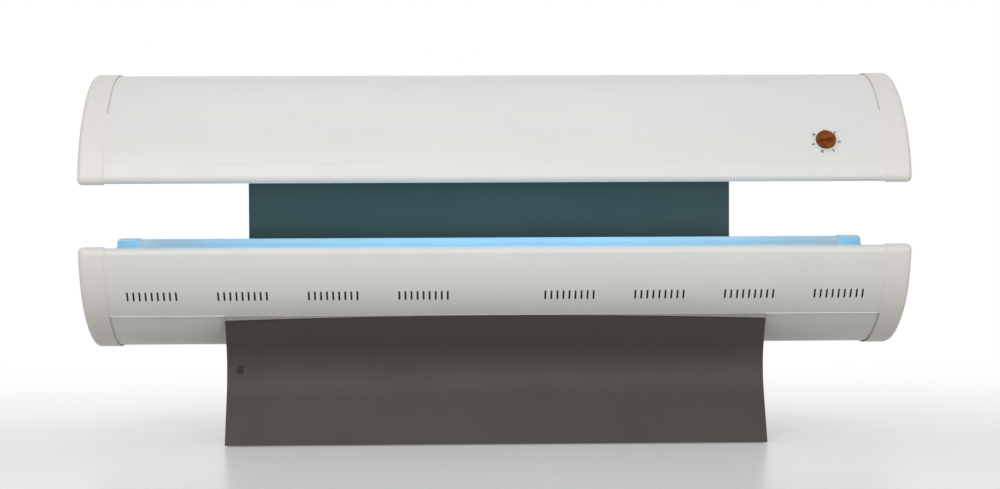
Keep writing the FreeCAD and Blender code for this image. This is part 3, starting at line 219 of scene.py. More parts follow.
class Shader(Tree):
    """A material's or the sky's tree."""

    def __init__(self, owner: bpy.types.Material | bpy.types.World, output: str) -> None:
        """Starts an empty tree with its output node.

        Args:
            owner: the material or the sky.
            output: the type of its output node.
        """
        owner.use_nodes = True
        super().__init__(owner.node_tree)
        self.output = self.node(output)

    @classmethod
    def material(cls, name: str) -> tuple["Shader", bpy.types.Material]:
        """Starts a new material and returns its tree and itself."""
        made = bpy.data.materials.new(name)
        return cls(made, "ShaderNodeOutputMaterial"), made

    def place(self) -> bpy.types.NodeSocket:
        """Returns the object coordinates."""
        return self.node("ShaderNodeTexCoord").outputs["Object"]

    def axes(self) -> tuple[Flow, Flow, Flow]:
        """Returns the object coordinates as three numbers."""
        parts = self.node("ShaderNodeSeparateXYZ", None, {0: self.place()})
        return Flow(self, parts.outputs[0]), Flow(self, parts.outputs[1]), Flow(self, parts.outputs[2])

    def stretched(self, scale: Point) -> bpy.types.NodeSocket:
        """Returns the object coordinates scaled along each axis."""
        return self.node("ShaderNodeMapping", None, {"Vector": self.place(), "Scale": scale}).outputs[0]

    def noise(self, scale: float, detail: float = 2.0, rough: float = 0.5,
              stretch: Point | None = None) -> Flow:
        """Adds noise.

        Args:
            scale: patches per metre.
            detail: octaves.
            rough: share of the finer octaves.
            stretch: scale along each axis, for a pattern that runs one way.

        Returns:
            The noise, about 0.5 on average.
        """
        where = self.stretched(stretch) if stretch else self.place()
        inputs = {"Vector": where, "Scale": scale, "Detail": detail, "Roughness": rough}
        return self.flow("ShaderNodeTexNoise", {"noise_dimensions": "3D"}, inputs)

    def blend(self, factor: Flow, first: object, second: object) -> bpy.types.NodeSocket:
        """Mixes two colours.

        Args:
            factor: 0 gives the first, 1 the second.
            first: a colour or a socket.
            second: a colour or a socket.

        Returns:
            The mixed colour's socket.
        """
        settings = {"data_type": "RGBA", "blend_type": "MIX"}
        return self.node("ShaderNodeMix", settings, {0: factor, 6: first, 7: second}).outputs[2]

    def tones(self, factor: Flow, colour: Colour, first: float, second: float) -> bpy.types.NodeSocket:
        """Mixes two tones of one colour, each given by its factor."""
        return self.blend(factor, shade(colour, first), shade(colour, second))

    def bump(self, height: Flow, depth: float, strength: float = 1.0) -> bpy.types.NodeSocket:
        """Turns a height into a bent normal.

        Args:
            height: 0 to 1.
            depth: metres from 0 to 1.
            strength: share of the effect.

        Returns:
            The normal's socket.
        """
        inputs = {"Strength": strength, "Distance": depth, "Height": height}
        return self.node("ShaderNodeBump", None, inputs).outputs[0]

    def show(self, made: bpy.types.Node) -> None:
        """Joins a shader node to the output."""
        self.tree.links.new(made.outputs[0], self.output.inputs["Surface"])

    def surface(self, inputs: Mapping[object, object]) -> None:
        """Adds the Principled shader and joins it to the output."""
        self.show(self.node("ShaderNodeBsdfPrincipled", None, inputs))


# ---------------------------------------------------------------- finishes


@dataclass(frozen=True)
class Finish:
    """A finish that a surface can wear."""

    name: str

    def dress(self, shader: Shader) -> None:
        """Builds the finish in an empty tree."""
        raise NotImplementedError(self.name)

    def material(self) -> bpy.types.Material:
        """Makes the material the first time it is asked for.

        Returns:
            The material.
        """
        title = f"{self.name}_finish"
        known = bpy.data.materials.get(title)
        if known:
            return known
        shader, made = Shader.material(title)
        self.dress(shader)
        return made


@dataclass(frozen=True)
class PowderCoat(Finish):
    """Baked powder paint on sheet steel: a fine orange peel, faint clouds and a little dust."""

    colour: Colour
    gloss: float
    dust: float
    peel: float = 0.00012
    shine: float = 0.5
    cloud_scale: float = 3.1
    cloud_tones: Flat = (0.965, 1.03)
    cloud_rough: float = 0.1
    speck_scale: float = 900.0
    speck_rough: float = 0.05
    dust_scale: float = 7.0
    dust_tone: float = 0.9
    dust_rough: float = 0.3
    peel_scale: float = 420.0

    def dress(self, shader: Shader) -> None:
        """Builds the paint.

        Args:
            shader: the empty tree.
        """
        clouds = shader.noise(self.cloud_scale, detail=3.0)
        specks = shader.noise(self.speck_scale, detail=1.0)
        dust = shader.noise(self.dust_scale, detail=4.0, rough=0.6).over(0.45, 0.8) * self.dust
        clean = shader.tones(clouds, self.colour, *self.cloud_tones)
        peel = shader.noise(self.peel_scale)
        rough = self.gloss + (clouds - 0.5) * self.cloud_rough + dust * self.dust_rough
        shader.surface({
            "Base Color": shader.blend(dust, clean, shade(self.colour, self.dust_tone)),
            "Roughness": rough + (specks - 0.5) * self.speck_rough,
            "Specular IOR Level": self.shine,
            "Normal": shader.bump(peel, self.peel),
        })


@dataclass(frozen=True)
class MouldedPlastic(Finish):
    """Thick moulded plastic with a fine spark-eroded grain."""

    colour: Colour
    gloss: float
    grain: float = 0.00008
    flow_scale: float = 2.2
    flow_run: Point = (0.6, 1.0, 2.5)
    flow_tones: Flat = (0.96, 1.03)
    grain_scale: float = 1500.0
    grain_rough: float = 0.12
    wear_scale: float = 11.0
    wear_tone: float = 1.07
    wear_share: float = 0.18
    wear_rough: float = 0.06

    def inputs(self, shader: Shader) -> dict[str, object]:
        """Builds what the plastic feeds its shader.

        Args:
            shader: the empty tree.

        Returns:
            The shader's inputs by name.
        """
        flow_lines = shader.noise(self.flow_scale, stretch=self.flow_run)
        grain = shader.noise(self.grain_scale, rough=0.6)
        wear = shader.noise(self.wear_scale, detail=5.0, rough=0.65).over(0.52, 0.8)
        body = shader.tones(flow_lines, self.colour, *self.flow_tones)
        worn = shade(self.colour, self.wear_tone)
        return {
            "Base Color": shader.blend(wear * self.wear_share, body, worn),
            "Roughness": self.gloss + (grain - 0.5) * self.grain_rough - wear * self.wear_rough,
            "Specular IOR Level": 0.5,
            "Normal": shader.bump(grain, self.grain),
        }

    def dress(self, shader: Shader) -> None:
        """Builds the plastic."""
        shader.surface(self.inputs(shader))


@dataclass(frozen=True)
class LinedPlastic(MouldedPlastic):
    """Moulded plastic with painted lamp light along the dish: a glow, though the plastic is no lamp.

    The base colour there is a darker blue, which is painted shade and painted blue lamp light. The dish is
    given by its axis, as depth and height, and by the height of the lip. The sign says whether the painted
    light runs up or down from there.
    """

    # painted shade and painted blue lamp light: the base colour inside the dish
    liner: Colour = srgb(118, 150, 168)
    # the painted glow of the lamps on the caps' dish
    glow: Colour = LAMP_BLUE
    power: float = 0.52
    axis: Flat = (0.0, 0.0)
    dish_radius: float = 0.5
    lip: float = 0.5
    sign: float = 1.0
    liner_skin: float = 0.0012
    liner_start: float = 0.002
    liner_full: float = 0.007
    liner_fade: float = 0.06
    end_dim: float = 0.3
    half_length: float = 1.0

    def inputs(self, shader: Shader) -> dict[str, object]:
        """Builds the plastic's inputs, with painted shade and a painted lamp glow where the dish runs.

        Args:
            shader: the empty tree.

        Returns:
            The shader's inputs by name.
        """
        found = super().inputs(shader)
        along, depth, height = shader.axes()
        aside, above = depth - self.axis[0], height - self.axis[1]
        away = (aside * aside + above * above) ** 0.5
        inside = (self.dish_radius + self.liner_skin - away).over(0.0, self.liner_skin / 2)
        below = ((height - self.lip) * self.sign).over(self.liner_start, self.liner_full)
        dim = (along.size() - (self.half_length - self.liner_fade)).over(0.0, self.liner_fade)
        # where the lamp light and shade are painted on the cap
        painted_lamp_light = inside * below
        # painted shade and blue lamp light in the base colour, then a painted lamp glow that dims towards the
        # bed's ends
        found["Base Color"] = shader.blend(painted_lamp_light, found["Base Color"], self.liner)
        found["Emission Color"] = shader.blend(painted_lamp_light * (1.0 - dim * self.end_dim), BLACK, self.glow)
        found["Emission Strength"] = self.power
        return found


@dataclass(frozen=True)
class ClearSheet(Finish):
    """Clear acrylic that lets the lamps show, with faint wiping marks."""

    colour: Colour
    cover: float
    rough: float = 0.05
    coat: float = 0.35
    wipe_scale: float = 9.0
    wipe_run: Point = (0.5, 2.5, 2.5)
    hair_scale: float = 160.0
    hair_run: Point = (0.08, 1.0, 1.0)
    wipe_rough: float = 0.07
    wipe_coat: float = 0.1
    hair_rough: float = 0.08
    mark_cover: float = 0.05
    wave: float = 0.0001

    def dress(self, shader: Shader) -> None:
        """Builds the sheet.

        Args:
            shader: the empty tree.
        """
        wipes = shader.noise(self.wipe_scale, detail=6.0, rough=0.7, stretch=self.wipe_run)
        hair = shader.noise(self.hair_scale, detail=3.0, rough=0.7, stretch=self.hair_run).over(0.6, 0.75)
        shader.surface({
            "Base Color": self.colour,
            "Roughness": self.rough + wipes * self.wipe_rough + hair * self.hair_rough,
            "IOR": 1.49,
            "Alpha": self.cover + wipes * self.mark_cover + hair * self.mark_cover,
            "Coat Weight": self.coat + wipes * self.wipe_coat,
            "Coat Roughness": 0.04,
            "Normal": shader.bump(wipes, self.wave, strength=0.4),
        })


@dataclass(frozen=True)
class LampGlass(Finish):
    """A lit fluorescent tube: phosphor that glows blue, dimmer towards its ends."""

    colour: Colour
    glow: Colour
    power: float
    half_length: float
    fade: float
    end_tone: float = 0.35
    rough: float = 0.16
    streak_scale: float = 14.0
    streak_run: Point = (0.3, 1.0, 1.0)
    streak_tone: float = 0.9
    streak_share: float = 0.4
    streak_rough: float = 0.08

    def dress(self, shader: Shader) -> None:
        """Builds the glowing glass.

        Args:
            shader: the empty tree.
        """
        along, _, _ = shader.axes()
        cold = (along.size() - (self.half_length - self.fade)).over(0.0, self.fade)
        streak = shader.noise(self.streak_scale, stretch=self.streak_run)
        shader.surface({
            "Base Color": shader.tones(streak * self.streak_share, self.colour, 1.0, self.streak_tone),
            "Roughness": self.rough + streak * self.streak_rough,
            "Emission Color": shader.tones(cold, self.glow, 1.0, self.end_tone),
            "Emission Strength": self.power,
            "Coat Weight": 0.5,
            "Coat Roughness": 0.05,
        })


@dataclass(frozen=True)
class Metal(Finish):
    """Bare or plated metal with a grain that runs one way."""

    colour: Colour
    rough: float
    run: Point
    scale: float = 30.0
    patchy: float = 0.5
    depth: float = 0.00006
    tints: Flat = (0.86, 1.04)
    grain_rough: float = 0.2
    patch_scale: float = 26.0
    patch_rough: float = 0.1

    def dress(self, shader: Shader) -> None:
        """Builds the metal.

        Args:
            shader: the empty tree.
        """
        grain = shader.noise(self.scale, detail=6.0, rough=0.75, stretch=self.run)
        patches = shader.noise(self.patch_scale, rough=0.4)
        tint = (grain * (1 - self.patchy) + patches * self.patchy).over(0.3, 0.7)
        rough = self.rough + (grain - 0.5) * self.grain_rough + (patches - 0.5) * self.patch_rough
        shader.surface({
            "Base Color": shader.tones(tint, self.colour, *self.tints),
            "Metallic": 1.0,
            "Roughness": rough,
            "Normal": shader.bump(grain, self.depth),
        })


@dataclass(frozen=True)
class Matt(Finish):
    """Dull dark stuff such as rubber, bakelite or printing ink."""

    colour: Colour
    rough: float
    bloom: float = 0.12
    bloom_scale: float = 35.0
    bloom_tone: float = 1.9
    bloom_rough: float = 0.14
    grit_scale: float = 1100.0
    grit: float = 0.00005

    def dress(self, shader: Shader) -> None:
        """Builds the stuff.

        Args:
            shader: the empty tree.
        """
        bloom = shader.noise(self.bloom_scale, detail=4.0, rough=0.6)
        grit = shader.noise(self.grit_scale)
        shader.surface({
            "Base Color": shader.tones(bloom * self.bloom, self.colour, 1.0, self.bloom_tone),
            "Roughness": self.rough + (bloom - 0.5) * self.bloom_rough,
            "Normal": shader.bump(grit, self.grit),
        })


@dataclass(frozen=True)
class KnobPlastic(Finish):
    """Brown moulded knob plastic, marbled, polished by fingers on its high places."""

    colour: Colour
    dark: Colour
    rough: float = 0.5
    marble_scale: float = 95.0
    marble_run: Point = (1.0, 0.35, 1.0)
    rub_scale: float = 210.0
    rub_polish: float = 0.14
    rub_coat: float = 0.05
    grain_scale: float = 1600.0
    grain: float = 0.00004

    def dress(self, shader: Shader) -> None:
        """Builds the plastic.

        Args:
            shader: the empty tree.
        """
        marble = shader.noise(self.marble_scale, detail=5.0, rough=0.6, stretch=self.marble_run)
        rubbed = shader.noise(self.rub_scale, detail=3.0).over(0.42, 0.7)
        shader.surface({
            "Base Color": shader.blend(marble.over(0.3, 0.7), self.dark, self.colour),
            "Roughness": self.rough - rubbed * self.rub_polish,
            "Specular IOR Level": 0.2,
            "Coat Weight": rubbed * self.rub_coat,
            "Coat Roughness": 0.3,
            "Normal": shader.bump(shader.noise(self.grain_scale), self.grain),
        })


class Wear(Enum):
    """The finishes that the bed wears, under the record's slot names."""

    SHELL = PowderCoat("shell_white", srgb(229, 228, 226), gloss=0.4, dust=0.14)
    CAP = MouldedPlastic("cap_cream", srgb(231, 227, 222), gloss=0.46)
    BASE = PowderCoat("base_grey", srgb(70, 66, 61), gloss=0.5, dust=0.3, peel=0.0002, shine=0.3)
    ACRYLIC = ClearSheet("acrylic_clear", srgb(214, 232, 244), cover=0.16)
    LAMP = LampGlass("lamp_glass", srgb(238, 240, 244), LAMP_BLUE, power=1.05, half_length=0.853,
                     fade=0.05)
    REFLECTOR = Metal("reflector_metal", srgb(214, 217, 220), rough=0.34, run=(0.05, 1.0, 1.0),
                      scale=120.0, patchy=0.2, depth=0.00001)
    PLATED = Metal("plated_steel", srgb(176, 178, 178), rough=0.42, run=(1.0, 1.0, 1.0),
                   scale=60.0, patchy=0.8)
    FRAME = PowderCoat("frame_black", srgb(42, 42, 43), gloss=0.55, dust=0.35, peel=0.0002)
    STEEL = Metal("bright_steel", srgb(196, 197, 198), rough=0.24, run=(1.0, 1.0, 0.1),
                  scale=160.0, patchy=0.2)
    BLACK = Matt("black_plastic", srgb(30, 30, 31), rough=0.5)
    BRONZE = Metal("bush_bronze", srgb(168, 122, 66), rough=0.4, run=(1.0, 1.0, 1.0), scale=140.0)
    RUBBER = Matt("buffer_rubber", srgb(26, 26, 27), rough=0.8, bloom=0.3)
    KNOB = KnobPlastic("knob_brown", srgb(143, 77, 16), dark=srgb(104, 50, 8))
    BEZEL = MouldedPlastic("bezel_white", srgb(232, 229, 220), gloss=0.38)

    @property
    def slot(self) -> str:
        """The record's name for the slot."""
        return self.value.name


INK = Matt("dial_ink", srgb(22, 22, 22), rough=0.6, bloom=0.04)
# Column front panel: the base's dark grey with the lamps' teal light painted into its colour.
COLUMN_PAINTED_TEAL_LIGHT = PowderCoat("column_grey", srgb(53, 67, 55), gloss=0.55, dust=0.2, peel=0.0002, shine=0.7)
PLUG = Matt("plug_black", srgb(14, 13, 11), rough=0.55, bloom=0.06)
# Grey strip in front of the shaded gap above the base: its grey is painted light, the lit underside's tone.
STRIP_PAINTED_LIGHT = MouldedPlastic("seal_grey", srgb(138, 136, 130), gloss=0.6)
# Pale trim plastic tinted blue: the tint is painted lamp light.
TRIM_PAINTED_BLUE_LIGHT = MouldedPlastic("edge_trim", srgb(216, 229, 233), gloss=0.4)


# ---------------------------------------------------------------- the studio


@dataclass(frozen=True)
class SoftBox:
    """A square area light that looks at a point."""

    name: str
    place: Point
    aim: Point
    side: float
    power: float
    colour: Colour = WHITE

    def hang(self) -> None:
        """Puts the light in the scene."""
        data = bpy.data.lights.new(self.name, "AREA")
        data.shape = "SQUARE"
        data.size = self.side
        data.energy = self.power
        data.color = self.colour
        lamp = bpy.data.objects.new(self.name, data)
        lamp.location = self.place
        lamp.rotation_mode = "QUATERNION"
        lamp.rotation_quaternion = (Vector(self.aim) - Vector(self.place)).to_track_quat("-Z", "Y")
        bpy.context.scene.collection.objects.link(lamp)


@dataclass
class Studio:
    """The pale floor, the soft light and the camera.

    The floor turns white towards the back between the two depths of the backdrop, and towards the
    front and the sides between the two distances of the apron. The camera's angles are in degrees,
    and its lens and sensor in millimetres.
    """

    floor_half: float = 30.0
    floor_tone: Colour = srgb(249, 248, 247)
    floor_rough: float = 0.3
    floor_shine: float = 0.6
    cloud_scale: float = 2.0
    cloud_rough: float = 0.06
    bounce_tone: Colour = srgb(212, 210, 206)
    backdrop: Flat = (-1.3, 1.9)
    apron: Flat = (1.25, 2.8)
    sky: Colour = (0.42, 0.42, 0.425)
    eye: Point = (-0.1396, -5.8104, 0.6848)
    yaw: float = -1.5618
    pitch: float = -2.0625
    roll: float = -0.2199
    lens: float = 81.15
    sensor: float = 36.0
    sight: float = 100.0
    boxes: tuple[SoftBox, ...] = (
        SoftBox("key_light", (-1.4, -5.0, 3.1), (0.0, 0.0, 0.5), 2.2, 90.0, (1.0, 0.995, 0.985)),
        SoftBox("fill_light", (1.5, -5.1, 1.6), (0.0, 0.0, 0.4), 2.2, 53.0),
        SoftBox("top_light", (0.0, 0.6, 4.2), (0.0, 0.0, 0.0), 3.2, 20.0),
    )

    def background(self, shader: Shader, white: bpy.types.Node, lit: bpy.types.Node,
                   share: Flow | None = None) -> bpy.types.Node:
        """Shows white to the camera, glossy and transmission rays, and the lit shader to the rest.

        Args:
            shader: the tree to build in.
            white: the shader that those rays see.
            lit: the shader that lights the scene.
            share: how much of the white shows, 0 to 1.

        Returns:
            The mixed shader node.
        """
        seen = self.seen(shader)
        factor = seen * share if share else seen
        return shader.node("ShaderNodeMixShader", None, {0: factor, 1: lit.outputs[0], 2: white.outputs[0]})

    def seen(self, shader: Shader) -> Flow:
        """Tells the rays that see the white from the rest.

        Args:
            shader: the tree to build in.

        Returns:
            1 for camera, glossy and transmission rays and 0 for the rest.
        """
        path = shader.node("ShaderNodeLightPath")
        rays = ("Is Camera Ray", "Is Glossy Ray", "Is Transmission Ray")
        camera, glossy, through = (Flow(shader, path.outputs[ray]) for ray in rays)
        return (camera + glossy + through).over(0.0, 1.0)

    def floor(self) -> None:
        """Lays the floor."""
        mesh = bpy.data.meshes.new("studio_floor")
        corners = [(x, y, 0.0) for x, y in rectangle(self.floor_half, self.floor_half)]
        mesh.from_pydata(corners, [], [tuple(range(len(corners)))])
        mesh.materials.append(self.floor_finish())
        floor = bpy.data.objects.new("studio_floor", mesh)
        bpy.context.scene.collection.objects.link(floor)

    def floor_finish(self) -> bpy.types.Material:
        """Makes the floor's finish, which turns white all round the bed.

        Returns:
            The material.
        """
        shader, made = Shader.material("studio_floor")
        across, depth, _ = shader.axes()
        clouds = shader.noise(self.cloud_scale, detail=3.0)
        lit = shader.node("ShaderNodeBsdfPrincipled", None, {
            "Base Color": self.floor_tone,
            "Roughness": self.floor_rough + (clouds - 0.5) * self.cloud_rough,
            "Specular IOR Level": self.floor_shine,
        })
        dull = shader.node("ShaderNodeBsdfDiffuse", None, {"Color": self.bounce_tone})
        laid = self.background(shader, lit, dull)
        white = shader.node("ShaderNodeEmission", None, {"Color": WHITE, "Strength": 1.0})
        fades = (depth.over(*self.backdrop), (0 - depth).over(*self.apron), across.size().over(*self.apron))
        behind, ahead, beside = (1 - fade.eased() for fade in fades)
        shader.show(self.background(shader, white, laid, 1 - behind * ahead * beside))
        return made

    def world(self) -> None:
        """Surrounds the bed with a soft sky that shows as white."""
        world = bpy.data.worlds.new("studio_sky")
        shader = Shader(world, "ShaderNodeOutputWorld")
        lit = shader.node("ShaderNodeBackground", None, {"Color": self.sky, "Strength": 1.0})
        white = shader.node("ShaderNodeBackground", None, {"Color": WHITE, "Strength": 1.0})
        shader.show(self.background(shader, white, lit))
        bpy.context.scene.world = world

    def camera(self) -> None:
        """Sets the camera in front of the bed, a little to the left and above."""
        yaw, pitch, roll = (math.radians(angle) for angle in (self.yaw, self.pitch, self.roll))
        ahead = Vector((-math.sin(yaw) * math.cos(pitch), math.cos(yaw) * math.cos(pitch), math.sin(pitch)))
        level = Vector((math.cos(yaw), math.sin(yaw), 0.0))
        upright = level.cross(ahead)
        right = math.cos(roll) * level + math.sin(roll) * upright
        up = math.cos(roll) * upright - math.sin(roll) * level
        data = bpy.data.cameras.new("camera")
        data.lens = self.lens
        data.sensor_width = self.sensor
        data.clip_end = self.sight
        camera = bpy.data.objects.new("camera", data)
        turn = Matrix((right, up, -ahead)).transposed().to_4x4()
        camera.matrix_world = Matrix.Translation(self.eye) @ turn
        bpy.context.scene.collection.objects.link(camera)
        bpy.context.scene.camera = camera

    def build(self) -> None:
        """Sets the whole studio up."""
        bpy.context.scene.view_settings.view_transform = "Standard"
        self.floor()
        self.world()
        for box in self.boxes:
            box.hang()
        self.camera()


# ---------------------------------------------------------------- meshes


@contextmanager
def opened(mesh: bpy.types.Mesh) -> Iterator[bmesh.types.BMesh]:
    """Opens a mesh for work on its corners and faces, and writes it back afterwards.

    Args:
        mesh: the mesh.

    Returns:
        The open mesh, for the block that works on it.
    """
    form = bmesh.new()
    form.from_mesh(mesh)
    yield form
    form.to_mesh(mesh)
    form.free()


def solid(name: str, points: Sequence[Point], faces: Sequence[Sequence[int]]) -> bpy.types.Mesh:
    """Makes a mesh with its faces turned outwards.

    Args:
        name: the mesh's name.
        points: its corners.
        faces: the corners of each face.

    Returns:
        The mesh.
    """
    mesh = bpy.data.meshes.new(name)
    mesh.from_pydata(points, [], faces)
    with opened(mesh) as form:
        bmesh.ops.remove_doubles(form, verts=form.verts, dist=MERGE)
        bmesh.ops.recalc_face_normals(form, faces=form.faces)
    return mesh


def sweep(name: str, rings: Sequence[Sequence[Point]], closed: bool = False) -> bpy.types.Mesh:
    """Joins rings of points into a closed body.

    Args:
        name: the mesh's name.
        rings: rings of as many points each, in order along the body.
        closed: the last ring meets the first; otherwise both ends get a face.

    Returns:
        The mesh.
    """
    size = len(rings[0])
    count = len(rings)
    faces: list[Sequence[int]] = []
    for row in range(count if closed else count - 1):
        here, there = row * size, (row + 1) % count * size
        for column in range(size):
            right = (column + 1) % size
            faces.append((here + column, here + right, there + right, there + column))
    if not closed:
        faces += [tuple(range(size)), tuple(range((count - 1) * size, count * size))]
    return solid(name, [point for ring in rings for point in ring], faces)


def rectangle(half_width: float, half_height: float) -> list[Flat]:
    """Returns the corners of a rectangle about the middle."""
    return [(-half_width, -half_height), (half_width, -half_height),
            (half_width, half_height), (-half_width, half_height)]


def prism(name: str, outline: Sequence[Flat], low: float, high: float) -> bpy.types.Mesh:
    """Stands a flat outline up along Z, from low to high."""
    return sweep(name, [[(x, y, z) for x, y in outline] for z in (low, high)])


def turned(profile: Sequence[Flat], sides: int) -> list[list[Point]]:
    """Sets copies of a profile, given as radius and height, round Z."""
    angles = [math.tau * side / sides for side in range(sides)]
    return [[(r * math.cos(a), r * math.sin(a), z) for r, z in profile] for a in angles]


def lathe(name: str, profile: Sequence[Flat], sides: int) -> bpy.types.Mesh:
    """Turns a profile about Z.

    Args:
        name: the mesh's name.
        profile: radius and height of each point; one on the axis closes that end.
        sides: faces round the axis.

    Returns:
        The mesh.
    """
    faces = []
    size = len(profile)
    for row in range(sides):
        here, there = row * size, (row + 1) % sides * size
        faces += [(here + i, there + i, there + i + 1, here + i + 1) for i in range(size - 1)]
    mesh = solid(name, [point for ring in turned(profile, sides) for point in ring], faces)
    with opened(mesh) as form:
        bmesh.ops.dissolve_degenerate(form, edges=form.edges, dist=MERGE)
    return mesh


def moved(mesh: bpy.types.Mesh, place: Callable[[Vector], Point]) -> bpy.types.Mesh:
    """Puts every corner of a mesh where a rule says.

    Args:
        mesh: the mesh, which is changed.
        place: gives the new place of a corner.

    Returns:
        The same mesh.
    """
    for corner in mesh.vertices:
        corner.co = place(corner.co.copy())
    mesh.update()
    return mesh


def joined(name: str, meshes: Iterable[bpy.types.Mesh]) -> bpy.types.Mesh:
    """Joins meshes into one.

    Args:
        name: the new mesh's name.
        meshes: the meshes.

    Returns:
        The new mesh.
    """
    form = bmesh.new()
    for mesh in meshes:
        form.from_mesh(mesh)
    whole = bpy.data.meshes.new(name)
    form.to_mesh(whole)
    form.free()
    return whole


def evaluated(holder: bpy.types.Object) -> bpy.types.Mesh:
    """Turns an object into a plain mesh and removes the object.

    Args:
        holder: an object with modifiers, or a text, that isn't in the scene yet.

    Returns:
        The plain mesh.
    """
    bpy.context.scene.collection.objects.link(holder)
    graph = bpy.context.evaluated_depsgraph_get()
    made = bpy.data.meshes.new_from_object(holder.evaluated_get(graph))
    holder.modifiers.clear()
    bpy.data.objects.remove(holder)
    return made


def outwards(mesh: bpy.types.Mesh) -> bpy.types.Mesh:
    """Turns a mesh's faces outwards after a mirroring move.

    Args:
        mesh: the mesh, which is changed.

    Returns:
        The same mesh.
    """
    with opened(mesh) as form:
        bmesh.ops.recalc_face_normals(form, faces=form.faces)
    return mesh


def seat(name: str, mesh: bpy.types.Mesh, body: str, finish: Finish, slot: str,
         *stood_for: str) -> bpy.types.Object:
    """Puts a finished piece on its body.

    Args:
        name: the piece's name.
        mesh: its mesh, in place.
        body: the body that it moves with.
        finish: its finish.
        slot: the record's slot of that finish; not used.
        stood_for: the nodes that it replaces.

    Returns:
        The piece.
    """
    mesh.name = name
    mesh.materials.clear()
    mesh.materials.append(finish.material())
    for face in mesh.polygons:
        face.material_index = 0
        face.use_smooth = True
    mesh.set_sharp_from_angle(angle=SMOOTH_BELOW)
    piece = bpy.data.objects.new(name, mesh)
    bpy.context.scene.collection.objects.link(piece)
    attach(piece, body)
    if stood_for:
        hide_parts(*stood_for)
    LOG.info("%s: %d faces on %s", name, len(mesh.polygons), body)
    return piece


class Repeat(Tree):
    """A Geometry Nodes tree that ends in one real mesh of one finish."""

    def __init__(self, name: str) -> None:
        """Starts the tree with its shape and finish inputs.

        Args:
            name: the tree's name.
        """
        group = bpy.data.node_groups.new(name, "GeometryNodeTree")
        super().__init__(group)
        group.interface.new_socket("Geometry", in_out="OUTPUT", socket_type="NodeSocketGeometry")
        self.names: dict[str, str] = {}
        self.entry = self.tree.nodes.new("NodeGroupInput")
        self.geometry = self.take("Geometry", "Geometry")
        self.finish = self.take("Finish", "Material")

    def take(self, name: str, kind: str) -> bpy.types.NodeSocket:
        """Adds a named input.

        Args:
            name: the input's name.
            kind: its type, such as Float, Int or Material.

        Returns:
            Its socket inside the tree.
        """
        item = self.tree.interface.new_socket(name, in_out="INPUT", socket_type="NodeSocket" + kind)
        self.names[name] = item.identifier
        return self.entry.outputs[name]

    def number(self, name: str, kind: str = "Float") -> Flow:
        """Adds a named number input."""
        return Flow(self, self.take(name, kind))

    def vector(self, *parts: object) -> bpy.types.NodeSocket:
        """Joins three numbers into a vector."""
        return self.node("ShaderNodeCombineXYZ", None, dict(enumerate(parts))).outputs[0]

    def close(self, points: bpy.types.NodeSocket, shape: bpy.types.NodeSocket,
              turn: bpy.types.NodeSocket) -> None:
        """Puts the shape on the points, makes it real and gives it its finish.

        Args:
            points: the points.
            shape: the shape.
            turn: how far it is turned at each point.
        """
        inputs = {"Points": points, "Instance": shape, "Rotation": turn}
        laid = self.node("GeometryNodeInstanceOnPoints", None, inputs)
        real = self.node("GeometryNodeRealizeInstances", None, {0: laid.outputs[0]})
        done = self.node("GeometryNodeSetMaterial", None,
                         {"Geometry": real.outputs[0], "Material": self.finish})
        self.node("NodeGroupOutput", None, {0: done.outputs[0]})

    def run(self, shape: bpy.types.Mesh, values: Mapping[str, object]) -> bpy.types.Mesh:
        """Runs the tree on a mesh.

        Args:
            shape: the mesh that goes into the tree.
            values: the tree's other inputs, by name.

        Returns:
            The plain mesh.
        """
        holder = bpy.data.objects.new(self.tree.name, shape)
        modifier = holder.modifiers.new("repeat", "NODES")
        modifier.node_group = self.tree
        for name, value in values.items():
            modifier[self.names[name]] = value
        return evaluated(holder)


class ArcRepeat(Repeat):
    """Repeats a shape round an arc in the XY plane, clockwise from +Y."""

    def __init__(self, name: str) -> None:
        """Builds the tree.

        Args:
            name: the tree's name.
        """
        super().__init__(name)
        count = self.take("Count", "Int")
        radius = self.number("Radius")
        first = self.number("First")
        step = self.number("Step")
        angle = first + self.flow("GeometryNodeInputIndex") * step
        place = self.vector(radius * angle.sine(), radius * angle.cosine(), 0.0)
        points = self.node("GeometryNodePoints", None, {"Count": count, "Position": place})
        self.close(points.outputs[0], self.geometry, self.vector(0.0, 0.0, 0.0 - angle))


class SpotRepeat(Repeat):
    """Repeats a shape on the corners of a mesh."""

    def __init__(self, name: str) -> None:
        """Builds the tree.

        Args:
            name: the tree's name.
        """
        super().__init__(name)
        shape = self.node("GeometryNodeObjectInfo", None, {"Object": self.take("Shape", "Object")})
        self.close(self.geometry, shape.outputs["Geometry"], self.vector(0.0, 0.0, 0.0))


def arc_points(centre: Flat, radius: float, start: float, end: float, steps: int) -> list[Flat]:
    """Returns points on an arc, angles in radians from the first axis."""
    angles = [start + (end - start) * step / steps for step in range(steps + 1)]
    return [(centre[0] + radius * math.cos(a), centre[1] + radius * math.sin(a)) for a in angles]


# ---------------------------------------------------------------- the bed


